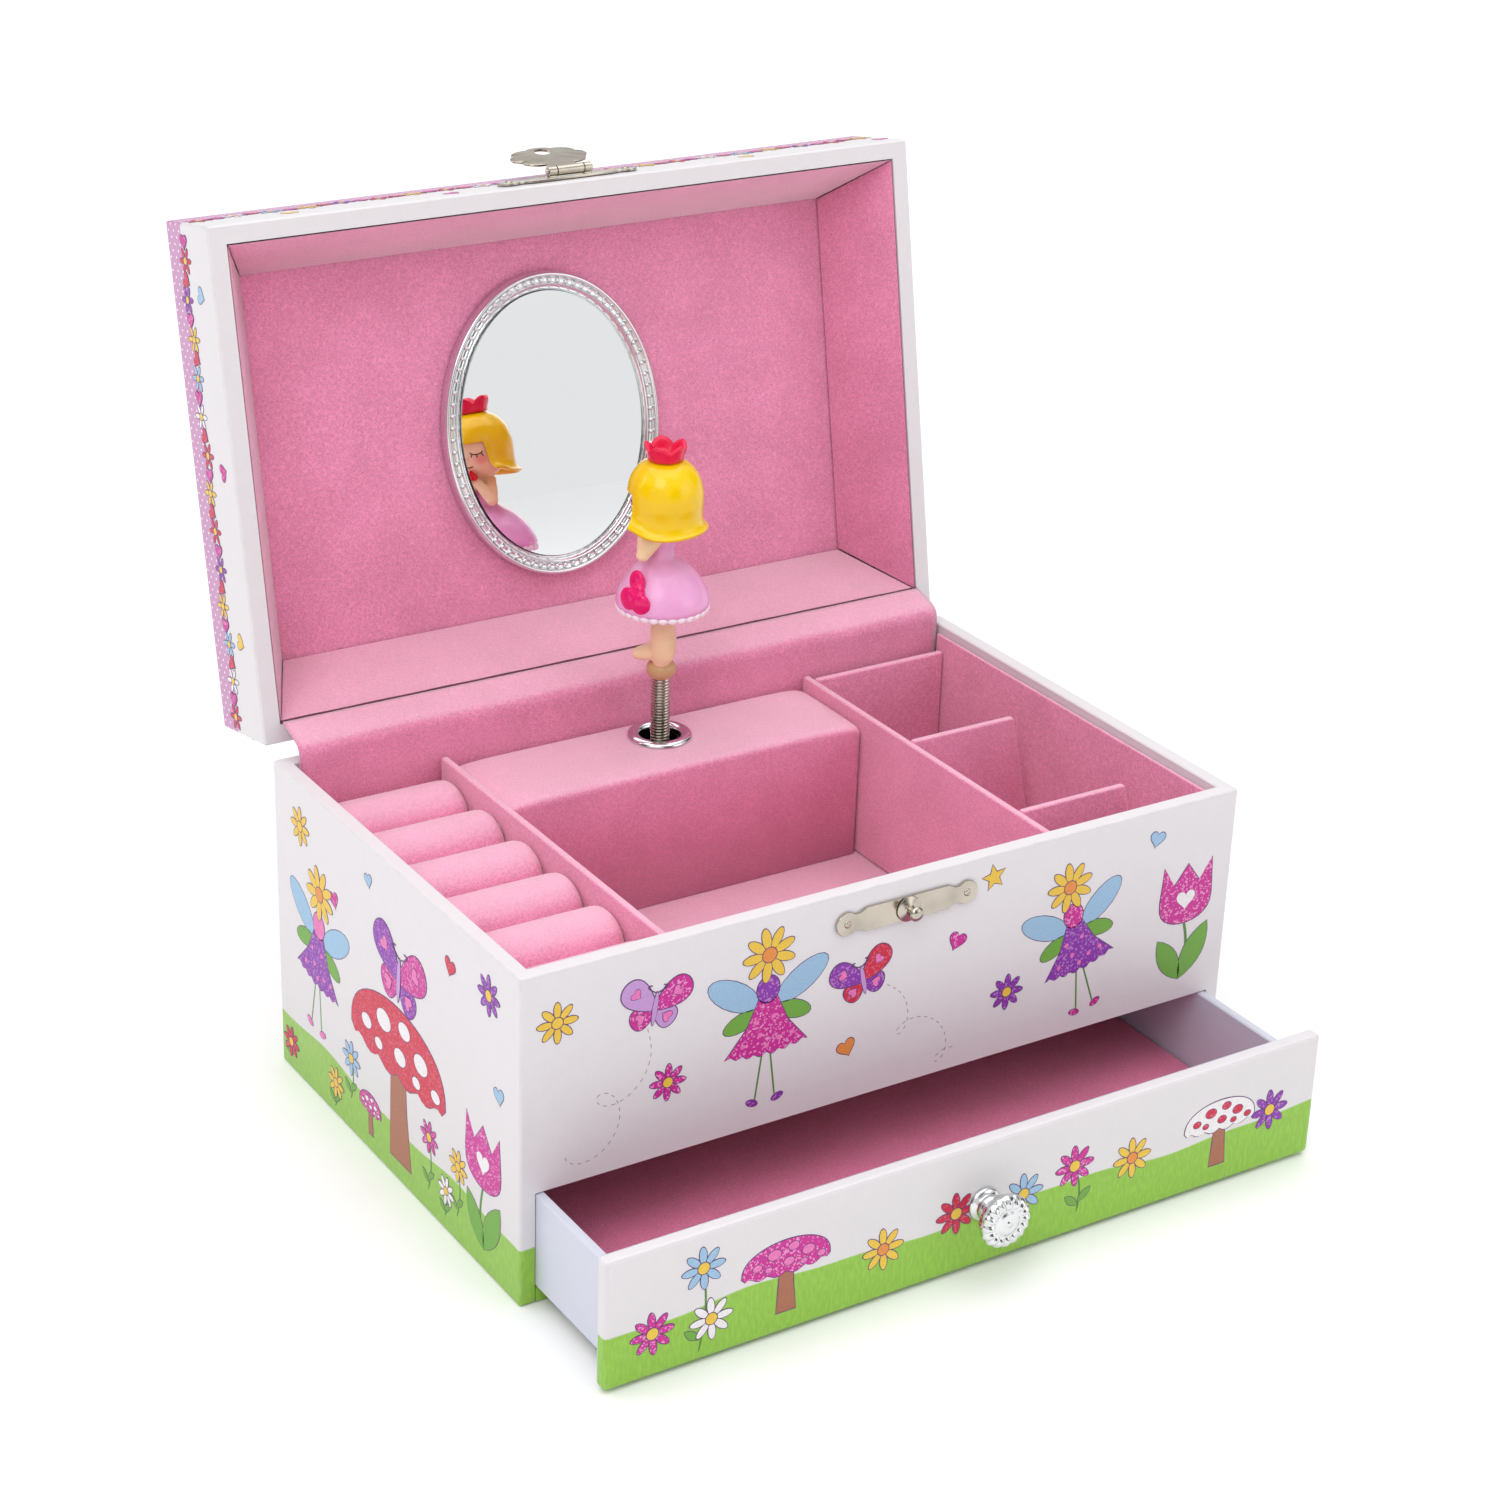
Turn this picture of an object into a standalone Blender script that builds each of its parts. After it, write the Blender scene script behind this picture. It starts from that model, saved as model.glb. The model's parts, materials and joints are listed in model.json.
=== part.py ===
"""Ballerina jewellery box: a paper-covered board case with a hinged lid, a drawer, a lined tray
and a wind-up movement that turns a small figure on a spring.

Metres, +Z up, +X along the front to the right, +Y to the back.  The origin is under the middle
of the case.  The lid stands open, the drawer is pulled part way out and the hasp is folded up.
"""
import math

import bmesh
import bpy
import numpy as np
from mathutils import Matrix, Vector

# ---- driving dimensions ---------------------------------------------------------------
MM = 0.001
GAP = 0.3 * MM                       # between pieces that touch

CASE_WIDTH = 260 * MM
CASE_DEPTH = 165 * MM
CASE_HEIGHT = 109 * MM
WALL = 5 * MM
DRAWER_OPENING_TOP = 37.5 * MM       # lower edge of the front panel
LID_HEIGHT = 33.2 * MM
LID_WALL = 6 * MM
LID_TOP_BOARD = 2.5 * MM
LINING_DEPTH = 28 * MM               # rim to the lid's padded panel
LINING_SLOPE_RUN = 14.2 * MM         # how far the lid's lining slopes in

HINGE_Y = 86.3 * MM                  # lid's hinge axis, behind the back panel
HINGE_Z = 108 * MM
LID_OPEN = math.radians(100.6)
DRAWER_OUT = 44.2 * MM               # how far the drawer stands open
HASP_FOLD = math.radians(166)        # from hanging down to folded up

TRAY_FLOOR = 49.1 * MM               # top of the tray's padded floor
DIVIDER_TOP = 101 * MM
LINER_TOP = 106.2 * MM
LINER = 1.5 * MM
DIVIDER = 2.7 * MM
LEFT_DIVIDER_X = -74.4 * MM          # its left face
RIGHT_DIVIDER_X = 66.5 * MM
RING_ROLLS = 6
COVER_TOP = 98.5 * MM                # mechanism cover
COVER_FRONT_Y = 36.5 * MM

HARDWARE_X = 1.5 * MM                # hasp and strike plate sit a little right of the middle
STUD_Z = 99 * MM
HASP_PIN_Y = -85.6 * MM
HASP_PIN_Z = 117.5 * MM
SHEET_METAL = 0.8 * MM

FIGURE_Y = 60 * MM                   # the figure stands over the case's middle, near the back
SPRING_BOTTOM = 94 * MM
SPRING_TOP = 120.5 * MM
SPRING_BEND_Z = 112 * MM             # where the spring gives when the lid pushes the figure down
WAIST_Z = 147 * MM
FIGURE_FACING = math.radians(143)    # heading of its face, from +X

KEY_Z = 72 * MM                      # winding arbor, through the back panel
BEDPLATE_Y = 72 * MM
BARREL_FACE_Y = 65.3 * MM
BARREL_RADIUS = 13 * MM
CYLINDER_Y = 58 * MM
CYLINDER_RADIUS = 6.5 * MM
CYLINDER_LENGTH = 42 * MM
CYLINDER_GEAR_X = 22.5 * MM
GOVERNOR_X = 23.25 * MM
GOVERNOR_Y = 47.7 * MM
SPINDLE_PINION_Z = 80.5 * MM
LEVER_X = 31.75 * MM
LEVER_PIVOT_Y = 67 * MM
LEVER_Z = 90 * MM

HALF_W = CASE_WIDTH / 2
HALF_D = CASE_DEPTH / 2
INNER_X = HALF_W - WALL
INNER_Y = HALF_D - WALL
LID_RIM = CASE_HEIGHT + GAP
LID_TOP = LID_RIM + LID_HEIGHT
FLAP_FRONT = 75.5 * MM               # front face of the hanging flap
TRAY_BACK = FLAP_FRONT - 0.7 * MM    # dividers and cover end in front of it

COLOURS = {
    "paper": ((0.80, 0.80, 0.82), 0.45, 0.0),
    "lavender_paper": ((0.66, 0.62, 0.80), 0.5, 0.0),
    "board": ((0.55, 0.42, 0.28), 0.8, 0.0),
    "flock": ((0.72, 0.24, 0.42), 0.95, 0.0),
    "nickel": ((0.68, 0.66, 0.62), 0.28, 1.0),
    "chrome": ((0.82, 0.82, 0.84), 0.12, 1.0),
    "brass": ((0.72, 0.52, 0.22), 0.3, 1.0),
    "steel": ((0.45, 0.45, 0.47), 0.35, 1.0),
    "mirror": ((0.9, 0.92, 0.93), 0.03, 1.0),
    "skin": ((0.80, 0.52, 0.30), 0.35, 0.0),
    "skirt": ((0.78, 0.36, 0.66), 0.25, 0.0),
    "hair": ((0.95, 0.72, 0.02), 0.22, 0.0),
    "crown": ((0.75, 0.01, 0.08), 0.3, 0.0),
    "black": ((0.03, 0.03, 0.03), 0.5, 0.0),
}

for old in list(bpy.data.objects):
    bpy.data.objects.remove(old, do_unlink=True)

parts = bpy.data.collections.new("ballerina_jewellery_box")
bpy.context.scene.collection.children.link(parts)
cutters = bpy.data.collections.new("cutters")
bpy.context.scene.collection.children.link(cutters)


# ---- helpers --------------------------------------------------------------------------
def material(finish):
    """The named finish as a Principled material, made once."""
    found = bpy.data.materials.get(finish)
    if found:
        return found
    colour, roughness, metallic = COLOURS[finish]
    made = bpy.data.materials.new(finish)
    made.use_nodes = True
    shader = made.node_tree.nodes["Principled BSDF"]
    shader.inputs["Base Color"].default_value = (*colour, 1)
    shader.inputs["Roughness"].default_value = roughness
    shader.inputs["Metallic"].default_value = metallic
    return made


def hang(child, pivot):
    """Parent a child that was placed as if the pivot were not turned or moved."""
    child.parent = pivot
    child.matrix_parent_inverse = Matrix.Translation(pivot["unturned"]).inverted()


def make_pivot(name, place, turn_x=0.0, parent=None):
    """An empty on a joint's axis.  Its children are modelled in its unturned place."""
    pivot = bpy.data.objects.new(name, None)
    pivot["unturned"] = place
    parts.objects.link(pivot)
    pivot.location = place
    pivot.rotation_euler.x = turn_x
    if parent:
        hang(pivot, parent)
    return pivot


def mesh_object(name, bm, finish, pivot=None, smooth=False):
    """Put a bmesh into a named part."""
    bmesh.ops.recalc_face_normals(bm, faces=bm.faces)
    mesh = bpy.data.meshes.new(name)
    bm.to_mesh(mesh)
    bm.free()
    made = bpy.data.objects.new(name, mesh)
    parts.objects.link(made)
    mesh.materials.append(material(finish))
    if smooth:
        mesh.shade_smooth()
        mesh.set_sharp_from_angle(angle=math.radians(35))
    if pivot:
        hang(made, pivot)
    return made


def box_mesh(low, high):
    bm = bmesh.new()
    bmesh.ops.create_cube(bm, size=1)
    size = Vector(high) - Vector(low)
    bmesh.ops.scale(bm, vec=size, verts=bm.verts)
    bmesh.ops.translate(bm, vec=(Vector(high) + Vector(low)) / 2, verts=bm.verts)
    return bm


def box(name, low, high, finish, pivot=None, round_by=0.0, segments=1):
    """A board or block, with its edges eased by a Bevel modifier."""
    made = mesh_object(name, box_mesh(low, high), finish, pivot)
    if round_by:
        bevel = made.modifiers.new("eased_edges", "BEVEL")
        bevel.width = round_by
        bevel.segments = segments
    return made


AXIS_TURN = {
    "X": Matrix.Rotation(math.pi / 2, 4, "Y"),
    "Y": Matrix.Rotation(-math.pi / 2, 4, "X"),
    "-Y": Matrix.Rotation(math.pi / 2, 4, "X"),
    "Z": Matrix.Identity(4),
}


def rod_mesh(start, length, radius, axis="Z", sides=20, end_radius=None):
    """A cylinder or cone from start along an axis."""
    bm = bmesh.new()
    bmesh.ops.create_cone(bm, cap_ends=True, segments=sides, radius1=radius,
                          radius2=radius if end_radius is None else end_radius, depth=length)
    bmesh.ops.translate(bm, vec=(0, 0, length / 2), verts=bm.verts)
    bmesh.ops.transform(bm, matrix=Matrix.Translation(start) @ AXIS_TURN[axis], verts=bm.verts)
    return bm


def ball_mesh(centre, radii, rings=8, sides=14):
    bm = bmesh.new()
    bmesh.ops.create_uvsphere(bm, u_segments=sides, v_segments=rings, radius=1)
    bmesh.ops.scale(bm, vec=radii, verts=bm.verts)
    bmesh.ops.translate(bm, vec=centre, verts=bm.verts)
    return bm


def turned(name, profile, centre, finish, axis="Z", sides=24, pivot=None):
    """A closed (radius, height) profile, outer side top to bottom, swept round an axis."""
    bm = bmesh.new()
    points = [bm.verts.new((radius, 0, height)) for radius, height in profile]
    for first, second in zip(points, points[1:] + points[:1]):
        if first.co.x > 0 or second.co.x > 0:
            bm.edges.new((first, second))
    mesh = bpy.data.meshes.new(name)
    bm.to_mesh(mesh)
    bm.free()
    made = bpy.data.objects.new(name, mesh)
    parts.objects.link(made)
    mesh.materials.append(material(finish))
    screw = made.modifiers.new("turned", "SCREW")
    screw.steps = sides
    screw.render_steps = sides
    screw.use_merge_vertices = True
    screw.merge_threshold = 0.01 * MM
    screw.use_smooth_shade = False
    made.matrix_world = Matrix.Translation(centre) @ AXIS_TURN[axis]
    if pivot:
        hang(made, pivot)
    return made


def settle(made):
    """Turn an object's modifiers and place into plain mesh."""
    bpy.context.view_layer.update()
    graph = bpy.context.evaluated_depsgraph_get()
    mesh = bpy.data.meshes.new_from_object(made.evaluated_get(graph))
    mesh.transform(made.matrix_world)
    settled = bpy.data.objects.new(made.name, mesh)
    name = made.name
    bpy.data.objects.remove(made, do_unlink=True)
    settled.name = name
    parts.objects.link(settled)
    return settled


def combine(name, base, others, finish, operation="UNION", pivot=None, smooth=False):
    """Join or cut meshes given as bmeshes or objects, with exact Booleans."""
    body = mesh_object(name, base, finish) if isinstance(base, bmesh.types.BMesh) else base
    tools = []
    for number, other in enumerate(others):
        tool = other
        if isinstance(other, bmesh.types.BMesh):
            tool = mesh_object(f"{name}_tool_{number}", other, finish)
        change = body.modifiers.new(f"{operation.lower()}_{number}", "BOOLEAN")
        change.operation = operation
        change.solver = "EXACT"
        change.object = tool
        tools.append(tool)
    body = settle(body)
    for tool in tools:
        bpy.data.objects.remove(tool, do_unlink=True)
    body.name = name
    if smooth:
        body.data.shade_smooth()
        body.data.set_sharp_from_angle(angle=math.radians(35))
    if pivot:
        hang(body, pivot)
    return body


def plate_object(name, outlines, thickness, finish, turn, place):
    """A flat sheet cut to closed outlines; inner outlines are holes."""
    curve = bpy.data.curves.new(name, "CURVE")
    curve.dimensions = "2D"
    curve.fill_mode = "BOTH"
    curve.extrude = thickness / 2
    for outline in outlines:
        spline = curve.splines.new("POLY")
        spline.points.add(len(outline) - 1)
        for point, (x, y) in zip(spline.points, outline):
            point.co = (x, y, 0, 1)
        spline.use_cyclic_u = True
    made = bpy.data.objects.new(name, curve)
    parts.objects.link(made)
    curve.materials.append(material(finish))
    made.matrix_world = Matrix.Translation(place) @ turn
    return made


def plate(name, outlines, thickness, finish, turn, place, pivot=None):
    """The sheet as a welded mesh."""
    made = settle(plate_object(name, outlines, thickness, finish, turn, place))
    bm = bmesh.new()
    bm.from_mesh(made.data)
    bmesh.ops.remove_doubles(bm, verts=bm.verts, dist=0.01 * MM)
    bmesh.ops.recalc_face_normals(bm, faces=bm.faces)
    bm.to_mesh(made.data)
    bm.free()
    if pivot:
        hang(made, pivot)
    return made


def ellipse(half_x, half_y, count=48, centre=(0, 0)):
    angles = np.linspace(0, 2 * math.pi, count, endpoint=False)
    return [(centre[0] + half_x * math.cos(a), centre[1] + half_y * math.sin(a)) for a in angles]


UPRIGHT = Matrix.Rotation(math.pi / 2, 4, "X")        # sheet's x, y become world X, Z
SIDEWAYS = Matrix.Rotation(math.pi / 2, 4, "Z") @ UPRIGHT   # sheet's x, y become world Y, Z

# ---- pivots ---------------------------------------------------------------------------
lid_axis = make_pivot("lid_axis", (0, HINGE_Y, HINGE_Z), -LID_OPEN)
hasp_axis = make_pivot("hasp_axis", (HARDWARE_X, HASP_PIN_Y, HASP_PIN_Z), -HASP_FOLD, lid_axis)
drawer_slide = make_pivot("drawer_slide", (0, 0, 0))
drawer_slide.location.y = -DRAWER_OUT
spring_bend = make_pivot("spring_bend", (0, FIGURE_Y, SPRING_BEND_Z))
figure_axis = make_pivot("figure_axis", (0, FIGURE_Y, WAIST_Z), parent=spring_bend)
key_axis = make_pivot("key_axis", (0, BARREL_FACE_Y, KEY_Z))
cylinder_axis = make_pivot("cylinder_axis", (0, CYLINDER_Y, KEY_Z))
governor_axis = make_pivot("governor_axis", (GOVERNOR_X, GOVERNOR_Y, KEY_Z))
spindle_axis = make_pivot("spindle_axis", (0, FIGURE_Y, SPINDLE_PINION_Z))
lever_axis = make_pivot("lever_axis", (LEVER_X, LEVER_PIVOT_Y, LEVER_Z))


# ---- case -----------------------------------------------------------------------------
def make_case():
    eased = 0.6 * MM
    between = INNER_X - GAP
    box("base_board", (-between, -HALF_D, 0), (between, INNER_Y - GAP, WALL), "paper")
    for side, sign in (("left", -1), ("right", 1)):
        xs = sorted((sign * INNER_X, sign * HALF_W))
        box(f"{side}_side_panel", (xs[0], -HALF_D, 0), (xs[1], HALF_D, CASE_HEIGHT),
            "paper", round_by=eased)
    box("front_panel", (-between, -HALF_D, DRAWER_OPENING_TOP), (between, -INNER_Y, CASE_HEIGHT),
        "paper", round_by=eased)
    arbor_hole = rod_mesh((0, INNER_Y - 2 * MM, KEY_Z), WALL + 4 * MM, 3 * MM, "Y")
    combine("back_panel", box_mesh((-between, INNER_Y, 0), (between, HALF_D, CASE_HEIGHT)),
            [arbor_hole], "paper", "DIFFERENCE")


SHELF_TOP = 42.2 * MM


def make_tray():
    between = INNER_X - GAP
    liner_x = between - LINER
    liner_y = INNER_Y - GAP - LINER
    floor_low = SHELF_TOP + GAP
    box("drawer_shelf", (-between, -INNER_Y + GAP, SHELF_TOP - 3 * MM),
        (between, INNER_Y - GAP, SHELF_TOP), "board")
    box("tray_floor_pad", (-liner_x + GAP, -liner_y + GAP, floor_low),
        (liner_x - GAP, TRAY_BACK, TRAY_FLOOR), "flock", round_by=0.8 * MM)
    for side, sign in (("left", -1), ("right", 1)):
        xs = sorted((sign * liner_x, sign * between))
        box(f"{side}_liner", (xs[0], -INNER_Y + GAP, floor_low),
            (xs[1], TRAY_BACK, LINER_TOP), "flock", round_by=0.4 * MM)
    box("front_liner", (-liner_x + GAP, -INNER_Y + GAP, floor_low),
        (liner_x - GAP, -liner_y, LINER_TOP), "flock", round_by=0.4 * MM)
    foot = TRAY_FLOOR + GAP
    front = -liner_y + GAP
    for side, left_face in (("left", LEFT_DIVIDER_X), ("right", RIGHT_DIVIDER_X)):
        box(f"{side}_divider", (left_face, front, foot),
            (left_face + DIVIDER, TRAY_BACK, DIVIDER_TOP), "flock", round_by=1 * MM, segments=2)
    make_cross_dividers(liner_x - GAP, foot)
    make_ring_rolls(-liner_x + GAP, front)


def make_cross_dividers(right_end, foot):
    """Three boards across the right-hand side.  Two are cut back towards the top."""
    left_end = RIGHT_DIVIDER_X + DIVIDER + GAP
    cut_back = 12 * MM
    for name, middle_y, cut in (("rear", 70.7 * MM, 0), ("middle", 12.4 * MM, cut_back),
                                ("front", -48.4 * MM, cut_back)):
        outline = [(left_end, foot), (right_end, foot), (right_end - cut, DIVIDER_TOP),
                   (left_end, DIVIDER_TOP)]
        plate(f"{name}_cross_divider", [outline], DIVIDER, "flock", UPRIGHT, (0, middle_y, 0))


def make_ring_rolls(left_end, front):
    """Padded rolls side by side on a raised platform; rings go between them."""
    right_end = LEFT_DIVIDER_X - GAP
    pitch = (TRAY_BACK - front) / RING_ROLLS
    radius = pitch / 2 - GAP / 2
    centre_z = COVER_TOP - radius
    box("ring_platform", (left_end, front, 70.5 * MM), (right_end, TRAY_BACK, 73.2 * MM), "board")
    for number in range(RING_ROLLS):
        centre_y = TRAY_BACK - pitch * (number + 0.5)
        roll = mesh_object(f"ring_roll_{number + 1}",
                           rod_mesh((left_end, centre_y, centre_z), right_end - left_end, radius,
                                    "X", sides=24), "flock", smooth=True)
        bevel = roll.modifiers.new("soft_ends", "BEVEL")
        bevel.width = 1.5 * MM
        bevel.segments = 2
        bevel.limit_method = "ANGLE"
        bevel.angle_limit = math.radians(60)


def make_mechanism_cover():
    """A padded box over the movement, open underneath and at the back."""
    board = 3 * MM
    left = LEFT_DIVIDER_X + DIVIDER + GAP
    right = RIGHT_DIVIDER_X - GAP
    outer = box("mechanism_cover_block", (left, COVER_FRONT_Y, TRAY_FLOOR + GAP),
                (right, TRAY_BACK, COVER_TOP), "flock", round_by=2.5 * MM, segments=3)
    inside = box_mesh((left + board, COVER_FRONT_Y + board, 0),
                      (right - board, CASE_DEPTH, COVER_TOP - board))
    hole = rod_mesh((0, FIGURE_Y, COVER_TOP - 2 * board), 4 * board, 8.3 * MM, sides=32)
    combine("mechanism_cover", outer, [inside, hole], "flock", "DIFFERENCE")
    flange = COVER_TOP + GAP
    turned("grommet", [(9.4 * MM, flange + 1.5 * MM), (10.7 * MM, flange + 1 * MM),
                       (11 * MM, flange), (8 * MM, flange), (8 * MM, COVER_TOP - 4 * MM),
                       (6.9 * MM, COVER_TOP - 4 * MM), (6.9 * MM, flange + 0.8 * MM),
                       (7.8 * MM, flange + 1.5 * MM)], (0, FIGURE_Y, 0), "chrome", sides=32)


# ---- hinge flap -----------------------------------------------------------------------
FLAP_THICKNESS = 1.2 * MM
FLAP_HALF_LENGTH = 123.5 * MM


def make_hinge_flap():
    """Flocked strip from behind the tray, over the back edge, to the lip of the lid's lining."""
    middle_y = FLAP_FRONT + FLAP_THICKNESS / 2
    straight = [(middle_y, z) for z in (84 * MM, 96 * MM, 106 * MM)]
    bend = [(76.2 * MM, 110.5 * MM), (76.7 * MM, 112.8 * MM), (78 * MM, 114.7 * MM),
            (80.2 * MM, 115.9 * MM), (83.5 * MM, 116.8 * MM), (88.5 * MM, 118.4 * MM)]
    route = np.array(straight + bend)
    along = np.gradient(route, axis=0)
    along /= np.linalg.norm(along, axis=1)[:, None]
    across = np.stack([-along[:, 1], along[:, 0]], axis=1) * FLAP_THICKNESS / 2
    outline = np.concatenate([route + across, (route - across)[::-1]])
    plate("hinge_flap", [outline.tolist()], 2 * FLAP_HALF_LENGTH, "flock", SIDEWAYS, (0, 0, 0))


# ---- movement -------------------------------------------------------------------------
PLATE = 1.5 * MM
FOOT_LOW = 54 * MM
COMB_LOW = 71.3 * MM
COMB_BACK_Y = 42 * MM


def make_movement():
    make_bedplate()
    make_comb()
    make_cylinder()
    make_governor()
    make_winding_gear()
    make_spindle()
    make_stop_lever()


def make_bedplate():
    """Upright plate with two side arms, a foot and the block that the comb is screwed to."""
    half = 34 * MM
    arm_x = 29 * MM
    arm_half = 1 * MM
    block_half = CYLINDER_LENGTH / 2 - 1 * MM
    back = BEDPLATE_Y + PLATE / 3                       # runs into the plate
    foot_high = FOOT_LOW + 2.5 * MM
    bed = box_mesh((-half, BEDPLATE_Y, FOOT_LOW), (half, BEDPLATE_Y + PLATE, KEY_Z + 16 * MM))
    arms = [box_mesh((sign * arm_x - arm_half, CYLINDER_Y - 8 * MM, KEY_Z - 6 * MM),
                     (sign * arm_x + arm_half, back, KEY_Z + 6 * MM)) for sign in (-1, 1)]
    foot = box_mesh((-block_half, COMB_BACK_Y, FOOT_LOW), (block_half, back, foot_high))
    block = box_mesh((-block_half, COMB_BACK_Y, foot_high - 0.5 * MM),
                     (block_half, COMB_BACK_Y + 4.5 * MM, COMB_LOW - 0.5 * MM))
    plate_body = combine("movement_bedplate", bed, arms + [foot, block], "brass")
    arbor_hole = rod_mesh((0, BEDPLATE_Y - 1 * MM, KEY_Z), 4 * MM, ARBOR_RADIUS + 0.4 * MM, "Y")
    pivot_holes = rod_mesh((-half, CYLINDER_Y, KEY_Z), 2 * half, AXLE_RADIUS + GAP, "X")
    combine("movement_bedplate", plate_body, [arbor_hole, pivot_holes], "brass", "DIFFERENCE")


def make_comb():
    """Steel comb: a back bar with one tooth for each note, shorter for the higher notes."""
    notes = 18
    pitch = 2.2 * MM
    tooth = 1.5 * MM
    left = -notes * pitch / 2
    longest_root_y = COMB_BACK_Y + 3.5 * MM
    root_rise = 1.5 * MM
    tip_y = CYLINDER_Y - CYLINDER_RADIUS - 0.5 * MM
    thickness = 1.2 * MM
    outline = [(left, COMB_BACK_Y)]
    for note in range(notes):
        root_y = longest_root_y + root_rise * note / notes
        start = left + pitch * note
        outline += [(start, root_y), (start, tip_y), (start + tooth, tip_y), (start + tooth, root_y)]
    outline.append((left + notes * pitch - (pitch - tooth), COMB_BACK_Y))
    plate("comb", [outline[::-1]], thickness, "steel", Matrix.Identity(4),
          (0, 0, COMB_LOW + thickness / 2))


ARBOR_RADIUS = 2.2 * MM
AXLE_RADIUS = 1 * MM


def make_cylinder():
    """Pinned cylinder with its driving pinion, governor gear and axle, all in one."""
    axle_half = 30.5 * MM
    cylinder = rod_mesh((-CYLINDER_LENGTH / 2, CYLINDER_Y, KEY_Z), CYLINDER_LENGTH, CYLINDER_RADIUS, "X", 24)
    gear = rod_mesh((CYLINDER_GEAR_X, CYLINDER_Y, KEY_Z), 1.5 * MM, CYLINDER_RADIUS + 2 * MM, "X", 24)
    pinion = rod_mesh((9 * MM, CYLINDER_Y, KEY_Z), 4 * MM, CYLINDER_RADIUS + 0.5 * MM, "X", 24)
    axle = rod_mesh((-axle_half, CYLINDER_Y, KEY_Z), 2 * axle_half, AXLE_RADIUS, "X", 12)
    combine("pinned_cylinder", cylinder, [gear, pinion, axle], "brass", pivot=cylinder_axis)


def make_governor():
    """Worm on an upright shaft, with a two-winged air brake on top."""
    worm_low = KEY_Z - 10 * MM
    wing_span = 9 * MM
    wing_low = 80 * MM
    worm = rod_mesh((GOVERNOR_X, GOVERNOR_Y, worm_low), 22 * MM, 1.5 * MM, "Z", 12)
    fan = box_mesh((GOVERNOR_X - wing_span / 2, GOVERNOR_Y - 0.5 * MM, wing_low),
                   (GOVERNOR_X + wing_span / 2, GOVERNOR_Y + 0.5 * MM, wing_low + 5.5 * MM))
    combine("governor", worm, [fan], "steel", pivot=governor_axis)


def make_winding_gear():
    """Spring barrel inside, and the key that turns it outside the back panel."""
    barrel_depth = BEDPLATE_Y - GAP - BARREL_FACE_Y
    turned("mainspring_barrel", [(BARREL_RADIUS, barrel_depth), (BARREL_RADIUS, 0), (0, 0),
                                 (0, barrel_depth)], (0, BARREL_FACE_Y, KEY_Z), "brass", "Y",
           pivot=key_axis)
    hub_y = HALF_D + 1 * MM
    wing_y = hub_y + 9.5 * MM
    wing_out = 7 * MM
    web_half = 4 * MM
    arbor = rod_mesh((0, BEDPLATE_Y, KEY_Z), 17 * MM, ARBOR_RADIUS, "Y", 16)
    hub = rod_mesh((0, hub_y, KEY_Z), 6 * MM, 4 * MM, "Y", 16)
    wings = [ball_mesh((sign * wing_out, wing_y, KEY_Z), (6 * MM, 6 * MM, 1.2 * MM))
             for sign in (-1, 1)]
    web = box_mesh((-web_half, hub_y + 2.5 * MM, KEY_Z - 1 * MM),
                   (web_half, wing_y + 2 * MM, KEY_Z + 1 * MM))
    combine("winding_key", arbor, [hub, web] + wings, "nickel", pivot=key_axis)


def make_spindle():
    """Upright spindle under the figure's spring, driven by the barrel's face gear."""
    shaft = rod_mesh((0, FIGURE_Y, SPINDLE_PINION_Z - 1 * MM), 14 * MM, 1.2 * MM, "Z", 12)
    pinion = rod_mesh((0, FIGURE_Y, SPINDLE_PINION_Z), 5.5 * MM, 5 * MM, "Z", 24)
    combine("drive_spindle", shaft, [pinion], "brass", pivot=spindle_axis)


def make_stop_lever():
    """Lever that the lid lets rise, with a finger that clears the governor's wings."""
    thick = 1.5 * MM
    low = LEVER_Z - 1 * MM
    high = LEVER_Z + 1 * MM
    front_y = 44 * MM
    xs = (LEVER_X - thick / 2, LEVER_X + thick / 2)
    tail_y = LEVER_PIVOT_Y + 1 * MM
    lever = box_mesh((xs[0], front_y, low), (xs[1], tail_y, high))
    finger = box_mesh((GOVERNOR_X - 1.25 * MM, front_y, low + 0.5 * MM),
                      (xs[0] + 0.5 * MM, front_y + 2 * MM, high))
    upright = box_mesh((xs[0], tail_y - 2 * MM, low + 0.5 * MM), (xs[1], tail_y, LEVER_Z + 3.5 * MM))
    combine("stop_lever", lever, [finger, upright], "steel", pivot=lever_axis)


# ---- lid ------------------------------------------------------------------------------
def frustum_mesh(low_half, low_z, high_half, high_z):
    """A block whose rectangular section changes from low_z to high_z."""
    bm = box_mesh((-1, -1, low_z), (1, 1, high_z))
    for vert in bm.verts:
        half = low_half if vert.co.z < (low_z + high_z) / 2 else high_half
        vert.co.x *= half[0]
        vert.co.y *= half[1]
    return bm


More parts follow.
